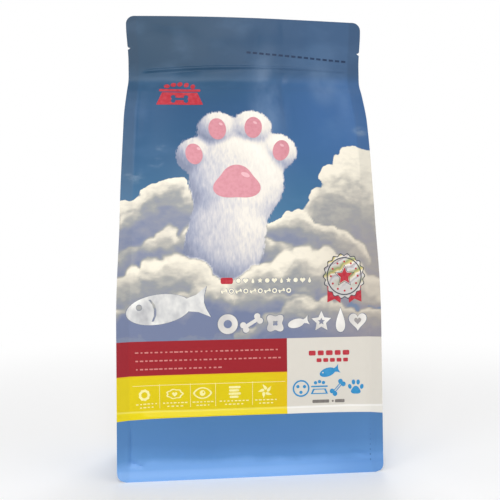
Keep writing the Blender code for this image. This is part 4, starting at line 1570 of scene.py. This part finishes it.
def ring(centre, size, hole, rule=disc, **shape):
    """An outline with a smaller copy of itself as its hole."""
    inner = tuple(s * hole for s in size) if isinstance(size, tuple) else size * hole
    return [rule(centre, size, **shape), rule(centre, inner, **shape)]


print("fish outline", len(fish((0.0, 0.0), 1.0)), "points")

# %% [markdown]
# Ink lies under the same matt laminate as the sky, so most inks differ only in colour. The large
# shapes and the medal are hot-stamped foil: a bright metal layer with a soft silver, pearl or rainbow
# cast that drifts over a few centimetres.

# %% Inks and foils
SILVER_STOPS = ((0.30, "#acacaf"), (0.45, "#c6c6c6"), (0.56, "#dbdad7"), (0.70, "#eeeeea"))
PEARL_STOPS = ((0.30, "#b9b6b6"), (0.45, "#d6d2cd"), (0.58, "#ece9e4"), (0.75, "#fbfaf8"))
RAINBOW_STOPS = ((0.0, "#c9c3b4"), (0.22, "#8f9a6a"), (0.40, "#c8b878"), (0.55, "#e9e4da"),
                 (0.72, "#a79a9c"), (0.86, "#cfcfd2"), (1.0, "#c9c3b4"))
RAINBOW_LEAN = (0.055, -0.09)
SATIN_ROUGHNESS, SATIN_METAL = 0.34, 0.35
RAINBOW_ROUGHNESS, RAINBOW_METAL = 0.28, 0.7
INK_MOTTLE_SIZE = 2.6


def flat_ink(name, fresh, worn):
    """Printed ink with the slight mottle of a gravure print."""
    material = new_material(name)
    tree = material.node_tree
    place = millimetres(tree)[2]
    mottle = drift(tree, place, INK_MOTTLE_SIZE, detail=4.0)
    share = node(tree, RANGE, {0: mottle, 1: 0.35, 2: 0.75, 4: 0.5}, 0, **SMOOTH)
    ink = node(tree, MIX, {0: share, 6: colour(fresh), 7: colour(worn)}, 2, **COLOURS)
    film_finish(tree, ink, place)
    return material


def satin_foil(name, size, stops):
    """Stamped foil: satin metal whose tone drifts, with lumps about one size in millimetres."""
    material = new_material(name)
    tree = material.node_tree
    place = millimetres(tree)[2]
    tone = drift(tree, place, size, stretch=(1.0, 1.0, 0.7))
    ink = node(tree, RAMP, {0: tone}, 0, stops=stops)
    film_finish(tree, ink, place, SATIN_ROUGHNESS, SATIN_METAL)
    return material


def rainbow_foil():
    """Holographic foil: slanting streaks of green, gold and silver, plainer towards its foot."""
    material = new_material("rainbow_stamped_foil")
    tree = material.node_tree
    across, height, place = millimetres(tree)
    wander = drift(tree, place, 9.0, 0.0, 1.1)
    slant = node(tree, MATH, {0: across, 1: RAINBOW_LEAN[0], 2: wander}, 0, operation="MULTIPLY_ADD")
    slant = node(tree, MATH, {0: height, 1: RAINBOW_LEAN[1], 2: slant}, 0, operation="MULTIPLY_ADD")
    turn = node(tree, MATH, {0: slant}, 0, operation="FRACT")
    cast = node(tree, RAMP, {0: turn}, 0, stops=RAINBOW_STOPS)
    share = node(tree, RANGE, {0: height, 1: 136.0, 2: 152.0}, 0, **SMOOTH)
    ink = node(tree, MIX, {0: share, 6: colour("#cfccc9"), 7: cast}, 2, **COLOURS)
    film_finish(tree, ink, place, RAINBOW_ROUGHNESS, RAINBOW_METAL)
    return material


RED_INK = flat_ink("red_gravure_ink", "#b02a38", "#c8505a")
PINK_INK = flat_ink("pink_gravure_ink", "#d3909a", "#c27784")
BLUSH_INK = flat_ink("blush_gravure_ink", "#e4b4bb", "#dda6ae")
PALE_INK = flat_ink("pale_gravure_ink", "#f0ead6", "#e0d8b4")
LEMON_INK = flat_ink("lemon_gravure_ink", "#f1eaa6", "#e8de7c")
ROSE_INK = flat_ink("rose_gravure_ink", "#cf8480", "#bd6a68")
NAVY_INK = flat_ink("navy_gravure_ink", "#1b2f4c", "#2a4060")
CYAN_INK = flat_ink("cyan_gravure_ink", "#2f88bd", "#4a9ac8")
GREY_INK = flat_ink("grey_gravure_ink", "#75706c", "#8c8782")
DUSK_INK = flat_ink("dusk_gravure_ink", "#4a77ab", "#406a9c")
SLATE_INK = flat_ink("slate_gravure_ink", "#6f7688", "#878c9c")
DARK_INK = flat_ink("dark_gravure_ink", "#42454e", "#575a62")
SILVER_FOIL = satin_foil("silver_stamped_foil", 12.0, SILVER_STOPS)
PEARL_FOIL = satin_foil("pearl_stamped_foil", 26.0, PEARL_STOPS)
RAINBOW_FOIL = rainbow_foil()
print("inks and foils", [m.name for m in bpy.data.materials if "ink" in m.name or "foil" in m.name])

# %% [markdown]
# The paw's pads are pink and bare. A little above, in the header's corner, a red bowl with kibble
# marks what is inside.

# %% Pads and bowl
heel_pad = [(0.98 * x, 0.74 * z) for x, z in flower((0.0, 0.0), 1.0, 3, 0.24, 90.0, 72)]
pads = [[turned(heel_pad, (-10.0, 219.0), 19.5)]]
for toe_x, toe_z, toe_radius in PAW_TOES:
    outward = toe_x - PALM[0]
    toe_pad = (0.44 * toe_radius, 0.60 * toe_radius)
    pads.append([disc((toe_x + 0.04 * outward, toe_z + 0.4), toe_pad, -0.55 * outward)])
print_piece("paw_pads", pads, PINK_INK)
shine = [[disc((-3.5, 225.5), (3.4, 1.7), -24.0, 24)]]
shine += [[disc((toe_x + 2.2, toe_z + 4.6), (1.7, 1.0), -30.0, 20)] for toe_x, toe_z, _ in PAW_TOES]
print_piece("pad_shine", shine, BLUSH_INK, layer=1)

BOWL = (-54.0, 291.0)
bowl_side = [(-18.5, -6.0), (18.5, -6.0), (14.0, 5.0), (-14.0, 5.0)]
bowl = [[turned(bowl_side, BOWL, 1.0), bone((BOWL[0], BOWL[1] - 0.8), 7.0)]]
bowl.append([bar((BOWL[0], BOWL[1] + 6.9), 33.0, 2.2)])
for i, lift in enumerate((0.2, 1.6, 2.2, 1.5, 0.0)):
    bowl.append([disc((BOWL[0] + 5.2 * (i - 2), BOWL[1] + 10.6 + lift), (2.3, 1.9), 20.0 * i, 20)])
print_piece("bowl_mark", bowl, RED_INK)

# %% [markdown]
# The widest print is stamped in foil over the clouds: one large silver fish and a row of pearl shapes
# like those that kibble is pressed in. A fine grey line sets each one off from the bright clouds, so the
# same outlines are laid first, a little larger.

# %% Foil fish and kibble shapes
FOIL_FISH = (-62.0, 127.0)
FISH_LENGTH, FISH_DEPTH, FISH_TURN = 31.0, 27.0, 8.0
KIBBLE_ROW = 114.5
KIBBLE_SIZE = 7.3
FOIL_MARGIN = 0.55


def kibble_shapes(grow):
    """The row of kibble shapes. Each grows by a margin in millimetres for its outline."""
    size = KIBBLE_SIZE + grow
    hole = 0.42 - 0.05 * grow
    return [ring((-18.0, KIBBLE_ROW), size, hole), [bone((-0.5, KIBBLE_ROW + 0.5), size * 1.16, 32.0)],
            ring((17.0, KIBBLE_ROW), size * 1.06, hole * 0.7, flower, petals=4, depth=0.34, turn=45.0),
            [fish((34.5, KIBBLE_ROW), size * 1.12, 14.0)],
            ring((52.0, KIBBLE_ROW + 0.5), size * 1.10, 0.36, star),
            [drop((67.0, KIBBLE_ROW + 1.5), (size, size * 1.25))],
            ring((81.0, KIBBLE_ROW + 0.5), size, 0.40, heart)]


def foil_fish(grow):
    """The large fish with its gill and eye cut out."""
    body = fish(FOIL_FISH, (FISH_LENGTH + grow, FISH_DEPTH + grow), FISH_TURN)
    eye = disc((FOIL_FISH[0] - 21.0, FOIL_FISH[1] + 0.5), 2.3 - 0.5 * grow)
    gill = [(-13.0, 8.0), (-10.6, 4.0), (-9.9, 0.0), (-10.6, -4.0), (-13.0, -8.0)]
    gill += [(x + 1.7, z) for x, z in reversed(gill)]
    return [[body, eye, turned(gill, FOIL_FISH, 1.0 - 0.02 * grow, FISH_TURN)]]


print_piece("foil_outline", foil_fish(FOIL_MARGIN) + kibble_shapes(FOIL_MARGIN), SLATE_INK)
print_piece("foil_fish", foil_fish(0.0), SILVER_FOIL, layer=1)
print_piece("foil_shapes", kibble_shapes(0.0), PEARL_FOIL, layer=1)

# %% [markdown]
# Two lines of much smaller shapes in pale ink stand over that row, and a red tag leads the upper one.
# They are only about 4 mm across, and a thin grey outline keeps them clear of the cloud behind.

# %% Small shapes over the foil row
SMALL_RULES = (disc, heart, drop, star)
SMALL_STEP = 5.3
SMALL_ROWS = (146.2, 138.6)
SMALL_MARGIN = 0.30


def small_shapes(grow):
    """Two rows of small shapes. Each grows by a margin in millimetres for its outline."""
    shapes = []
    for k in range(11):
        size = 2.1 if k % 4 else 1.7
        shapes.append([SMALL_RULES[k % 4]((-10.0 + SMALL_STEP * k, SMALL_ROWS[0]), size + grow)])
    for k in range(10):
        centre = (-20.5 + SMALL_STEP * k, SMALL_ROWS[1])
        shapes.append(ring(centre, 1.9 + grow, 0.5 - grow) if k % 2 else [bone(centre, 2.5 + grow, 20.0)])
    return shapes


print_piece("small_outline", small_shapes(SMALL_MARGIN), SLATE_INK)
print_piece("small_shapes", small_shapes(0.0), PALE_INK, layer=1)
print_piece("small_tag", [[bar((-18.5, SMALL_ROWS[0]), 9.0, 4.6, corner=0.6)]], RED_INK)

# %% [markdown]
# A medal of holographic foil sits on the right, with two ribbon ends under it. Its scalloped rim,
# the groove inside the rim and the star in the middle are separate outlines.

# %% Medal
MEDAL = (70.5, 148.5)
SCALLOPS, SCALLOP_DEPTH = 18, 0.09
ribbon = [[(-13.5, 2.0), (-2.0, -1.5), (-3.6, -14.0), (-8.0, -11.0), (-13.8, -13.4)],
          [(2.0, -1.5), (13.5, 2.0), (13.8, -13.4), (8.0, -11.0), (3.6, -14.0)]]
print_piece("medal_ribbon", [[turned(end, (MEDAL[0], MEDAL[1] - 6.0), 1.0)] for end in ribbon], RED_INK)
rim, face = ([[flower(MEDAL, size, SCALLOPS, SCALLOP_DEPTH, count=216)]] for size in (17.3, 16.5))
print_piece("medal_rim", rim, DARK_INK)
print_piece("medal_foil", face, RAINBOW_FOIL, layer=1)
groove = ring(MEDAL, 14.2, 0.94, count=72)
print_piece("medal_groove", [groove, ring(MEDAL, 8.6, 0.90, star)], DARK_INK, layer=2)
studs = [[disc(around(MEDAL, 10.9, 30.0 * k), 0.8, count=12)] for k in range(12)]
print_piece("medal_star", [[star(MEDAL, 6.6)]] + studs, RED_INK, layer=2)

# %% [markdown]
# The yellow band is divided into five cells, each with a pictogram about 10 mm wide: a ring of
# kibble, a bubble, an eye, a stack and a pinwheel. They are drawn as line art, so most are an
# outline with a smaller copy cut out.

# %% Pictograms in the yellow band
ICON_HEIGHT = 64.4
RING_ICON, BUBBLE_ICON, EYE_ICON = (-79.6, ICON_HEIGHT), (-57.3, ICON_HEIGHT), (-36.9, ICON_HEIGHT)
STACK_ICON, PINWHEEL_ICON = (-13.8, ICON_HEIGHT - 3.6), (9.4, ICON_HEIGHT)


def eye_rule(t):
    """An almond with pointed corners."""
    return (math.cos(t), 0.62 * math.copysign(abs(math.sin(t)) ** 1.5, math.sin(t)))


icons = [ring(RING_ICON, 4.3, 0.55, flower, petals=9, depth=0.10)]
icons.append(ring(BUBBLE_ICON, (6.6, 3.9), 0.80, flower, petals=7, depth=0.14))
icons.append([heart((BUBBLE_ICON[0], ICON_HEIGHT - 0.2), 1.9)])
eyelid = curve(eye_rule, 48)
icons.append([turned(eyelid, EYE_ICON, 7.0), turned(eyelid, EYE_ICON, 5.6)])
icons.append([disc(EYE_ICON, 2.1), disc((EYE_ICON[0] + 0.6, ICON_HEIGHT + 0.6), 0.7, count=14)])
for k, length in enumerate((6.6, 9.0, 7.4, 8.6)):
    icons.append([bar((STACK_ICON[0] + 0.5 * (k % 2), STACK_ICON[1] + 2.4 * k), length, 1.7)])
for k in range(5):
    turn = 72.0 * k + 12.0
    icons.append([drop(around(PINWHEEL_ICON, 3.3, turn + 90.0), (2.1, 2.5), turn + 24.0)])
print_piece("pictograms", icons, LEMON_INK)

# %% [markdown]
# The white field carries two rows of red bars, a small blue fish, four blue pictograms in line art
# and a grey rule under them.

# %% Prints on the white field
BISCUIT_ICON, DISH_ICON, BONE_ICON, PAW_ICON = (36.2, 65.4), (50.3, 63.0), (64.6, 65.4), (79.0, 65.2)
red_bars = [[bar((44.8 + 6.6 * k, 91.6), 4.6 if k % 2 else 5.2, 3.6, corner=0.5)] for k in range(5)]
red_bars += [[bar((50.0 + 5.2 * k, 86.2), 3.8, 2.8, corner=0.5)] for k in range(5)]
print_piece("red_bars", red_bars, RED_INK)

blue = [[fish((58.2, 77.6), 8.0, 16.0), disc((52.9, 76.9), 0.6, count=12)]]
blue.append(ring(BISCUIT_ICON, 6.4, 0.82))
blue += [[disc(around(BISCUIT_ICON, 2.9, 28.6 + 120.0 * k), 1.25, count=14)] for k in range(3)]
blue.append([turned(bowl_side, DISH_ICON, 0.36), turned(bowl_side, DISH_ICON, (0.27, 0.24))])
blue.append([bar((DISH_ICON[0], DISH_ICON[1] + 3.6), 13.0, 1.1)])
for across, lift in ((-3.1, 6.4), (0.0, 7.2), (3.1, 6.4)):
    blue.append([disc((DISH_ICON[0] + across, DISH_ICON[1] + lift), 1.3, count=14)])
blue.append([bone(BONE_ICON, 6.8, 48.0), bar(BONE_ICON, 6.8, 0.9, 48.0)])
blue += paw_print(PAW_ICON, 6.6)
print_piece("blue_pictograms", blue, CYAN_INK)

rules = [[bar((51.5, 55.2), 13.0, 2.4, corner=0.5)], [disc((60.8, 55.2), 0.8, count=12)]]
rules.append([bar((66.4, 55.2), 7.6, 2.4, corner=0.5)])
print_piece("grey_rules", rules, GREY_INK)

# %% [markdown]
# What repeats along a line is made by one Geometry Nodes tree: the dashes of the tear line, the rows
# of fine dashes in the red band and under the pictograms, and the rules between the cells. The tree
# cuts a guide line into steps, sets a small stamp on each one, turns it to lie on the film and gives
# it the ink. The guide lines carry the film's normal, so the tree knows which way is out.

# %% A tree that stamps along a line
COMBINE = "ShaderNodeCombineXYZ"
STAMP_INPUTS = (("Spacing", "NodeSocketFloat", 0.003), ("Length", "NodeSocketFloat", 0.002),
                ("Spread", "NodeSocketFloat", 0.0), ("Width", "NodeSocketFloat", 0.0005),
                ("Thickness", "NodeSocketFloat", 0.00016), ("Seed", "NodeSocketInt", 1),
                ("Ink", "NodeSocketMaterial", None))


def stamp_tree():
    """Geometry Nodes that repeat a small block along guide lines."""
    tree = bpy.data.node_groups.new("stamps_along_a_line", "GeometryNodeTree")
    tree.interface.new_socket("Guide", in_out="INPUT", socket_type="NodeSocketGeometry")
    for name, kind, value in STAMP_INPUTS:
        socket = tree.interface.new_socket(name, in_out="INPUT", socket_type=kind)
        if value is not None:
            socket.default_value = value
    tree.interface.new_socket("Stamps", in_out="OUTPUT", socket_type="NodeSocketGeometry")
    given = node(tree, "NodeGroupInput").outputs
    line = node(tree, "GeometryNodeMeshToCurve", {0: given["Guide"]}, 0)
    steps = node(tree, "GeometryNodeResampleCurve", {"Curve": line, "Length": given["Spacing"]}, 0,
                 mode="LENGTH")
    size = node(tree, COMBINE, {0: given["Length"], 1: given["Width"], 2: given["Thickness"]}, 0)
    block = node(tree, "GeometryNodeMeshCube", {"Size": size}, 0)
    run = node(tree, "GeometryNodeInputTangent", out=0)
    facing = node(tree, "GeometryNodeInputNamedAttribute", {"Name": "facing"}, 0, data_type="FLOAT_VECTOR")
    along = node(tree, "FunctionNodeAlignRotationToVector", {"Vector": run}, 0, axis="X")
    flat = node(tree, "FunctionNodeAlignRotationToVector", {"Rotation": along, "Vector": facing}, 0,
                axis="Z", pivot_axis="X")
    shortest = node(tree, MATH, {0: 1.0, 1: given["Spread"]}, 0, operation="SUBTRACT")
    luck = node(tree, "FunctionNodeRandomValue", {2: shortest, 3: 1.0, "Seed": given["Seed"]}, 1,
                data_type="FLOAT")
    scale = node(tree, COMBINE, {0: luck, 1: 1.0, 2: 1.0}, 0)
    stamps = node(tree, "GeometryNodeInstanceOnPoints",
                  {"Points": steps, "Instance": block, "Rotation": flat, "Scale": scale}, 0)
    real = node(tree, "GeometryNodeRealizeInstances", {0: stamps}, 0)
    inked = node(tree, "GeometryNodeSetMaterial", {"Geometry": real, "Material": given["Ink"]}, 0)
    node(tree, "NodeGroupOutput", {0: inked})
    return tree


STAMPS = stamp_tree()
print("tree inputs", [name for name, _, _ in STAMP_INPUTS])

# %% [markdown]
# A guide line is a chain of points on the film. Neighbouring points of the panel give the film's
# normal at each one, which goes into an attribute that the tree reads. The tree's result is then
# taken over as a plain mesh, so that the piece carries no modifier, and the empty slot in front of
# its ink is dropped.

# %% Guide lines and the finished stamps
GUIDE_STEP = 1.5
NORMAL_STEP = 0.2
STAMP_LIFT = 0.00006


def film_frame(x, z, side):
    """A point just proud of the film and the film's outward normal there, x and z in millimetres."""
    def at(across, height):
        return panel_point(across * MM, height * MM, side)
    right = at(x + NORMAL_STEP, z) - at(x - NORMAL_STEP, z)
    up = at(x, z + NORMAL_STEP) - at(x, z - NORMAL_STEP)
    normal = -side * np.cross(right, up)
    normal = normal / np.linalg.norm(normal, axis=-1, keepdims=True)
    return at(x, z) + STAMP_LIFT * normal, normal


def stamp_piece(name, lines, ink, side=-1, **sizes):
    """A piece made of stamps along straight lines on the print, each from start to end."""
    points, normals, edges = [], [], []
    for (start_x, start_z), (end_x, end_z) in lines:
        count = max(2, round(math.hypot(end_x - start_x, end_z - start_z) / GUIDE_STEP) + 1)
        x, z = np.linspace(start_x, end_x, count), np.linspace(start_z, end_z, count)
        first = sum(len(p) for p in points)
        own_points, own_normals = film_frame(x, z - print_droop(x, z), side)
        points.append(own_points)
        normals.append(own_normals)
        edges += [(first + i, first + i + 1) for i in range(count - 1)]
    data = bpy.data.meshes.new(name)
    data.from_pydata(np.concatenate(points), edges, [])
    layer = data.attributes.new("facing", "FLOAT_VECTOR", "POINT")
    layer.data.foreach_set("vector", np.concatenate(normals).astype(np.float32).ravel())
    piece = bpy.data.objects.new(name, data)
    bpy.context.scene.collection.objects.link(piece)
    modifier = piece.modifiers.new("stamps", "NODES")
    modifier.node_group = STAMPS
    sockets = {s.name: s.identifier for s in STAMPS.interface.items_tree if s.in_out == "INPUT"}
    modifier[sockets["Ink"]] = ink
    for key, value in sizes.items():
        modifier[sockets[key]] = value
    evaluated = piece.evaluated_get(bpy.context.evaluated_depsgraph_get())
    finished = bpy.data.meshes.new_from_object(evaluated)
    finished.materials.pop(index=0)
    piece.modifiers.clear()
    piece.data = finished
    mount(piece)


stamp_piece("tear_line", [((2.0, 331.2), (82.0, 326.5))], NAVY_INK,
            Spacing=0.0052, Length=0.0036, Width=0.0016)
red_rows = [((-85.0, 95.0), (18.0, 95.0)), ((-85.0, 89.0), (20.0, 89.0)), ((-85.0, 83.0), (-24.0, 83.0))]
stamp_piece("red_band_rows", red_rows, ROSE_INK,
            Spacing=0.0036, Length=0.0032, Spread=0.66, Width=0.0010, Seed=4)
CELL_EDGES = (-68.4, -45.8, -27.4, -0.2)
cell_rules = [((edge, 55.0), (edge, 71.0)) for edge in CELL_EDGES] + [((-87.5, 71.2), (23.5, 71.2))]
stamp_piece("cell_rules", cell_rules, LEMON_INK, Spacing=0.0015, Length=0.00152, Width=0.00035)
captions = []
for left, right in zip((-87.5,) + CELL_EDGES, CELL_EDGES + (20.0,)):
    inset = 0.14 * (right - left)
    captions.append(((left + inset, 57.8), (right - inset, 57.8)))
    captions.append(((left + 2.0 * inset, 55.3), (right - 2.0 * inset, 55.3)))
stamp_piece("captions", captions, LEMON_INK,
            Spacing=0.0026, Length=0.0022, Spread=0.5, Width=0.0008, Seed=9)

# %% [markdown]
# The right fin has a row of dots that the sealing bar left near the foot. The back's pale field
# carries fine rows and a table. It is read from behind, so its lines run from +X to -X.

# %% Seal dots and the back's table
stamp_piece("seal_dots", [((90.0, 12.0), (90.2, 42.0))], DUSK_INK,
            Spacing=0.0036, Length=0.0014, Width=0.0008)
TABLE_LEFT, TABLE_RIGHT, TABLE_TOP, TABLE_STEP = 58.0, -58.0, 238.0, 7.0
TABLE_FOOT = TABLE_TOP - 5.0 * TABLE_STEP
TABLE_COLUMNS = (TABLE_LEFT, 20.0, -6.0, -32.0, TABLE_RIGHT)
TABLE_ENTRIES = ((54.0, 26.0), (14.0, 14.0), (-12.0, 14.0), (-38.0, 14.0))
levels = [TABLE_TOP - TABLE_STEP * k for k in range(6)]
table = [((TABLE_LEFT, level), (TABLE_RIGHT, level)) for level in levels]
table += [((x, TABLE_FOOT), (x, TABLE_TOP)) for x in TABLE_COLUMNS]
stamp_piece("table_rules", table, GREY_INK, side=1, Spacing=0.0020, Length=0.00202, Width=0.0004)
entries = []
for level in levels[1:]:
    middle_z = level + 0.5 * TABLE_STEP
    entries += [((x, middle_z), (x - length, middle_z)) for x, length in TABLE_ENTRIES]
stamp_piece("table_entries", entries, GREY_INK, side=1,
            Spacing=0.0036, Length=0.0030, Spread=0.6, Width=0.0011, Seed=12)
back_rows = [((58.0, 271.0 - 6.0 * k), (-58.0, 271.0 - 6.0 * k)) for k in range(4)]
back_rows.append(((58.0, 247.0), (-24.0, 247.0)))
stamp_piece("back_rows", back_rows, GREY_INK, side=1,
            Spacing=0.0038, Length=0.0034, Spread=0.62, Width=0.0011, Seed=15)
print_piece("back_bowl", [[turned(loop, (-BOWL[0], 3.0), 1.0) for loop in shape] for shape in bowl],
            RED_INK, side=1)
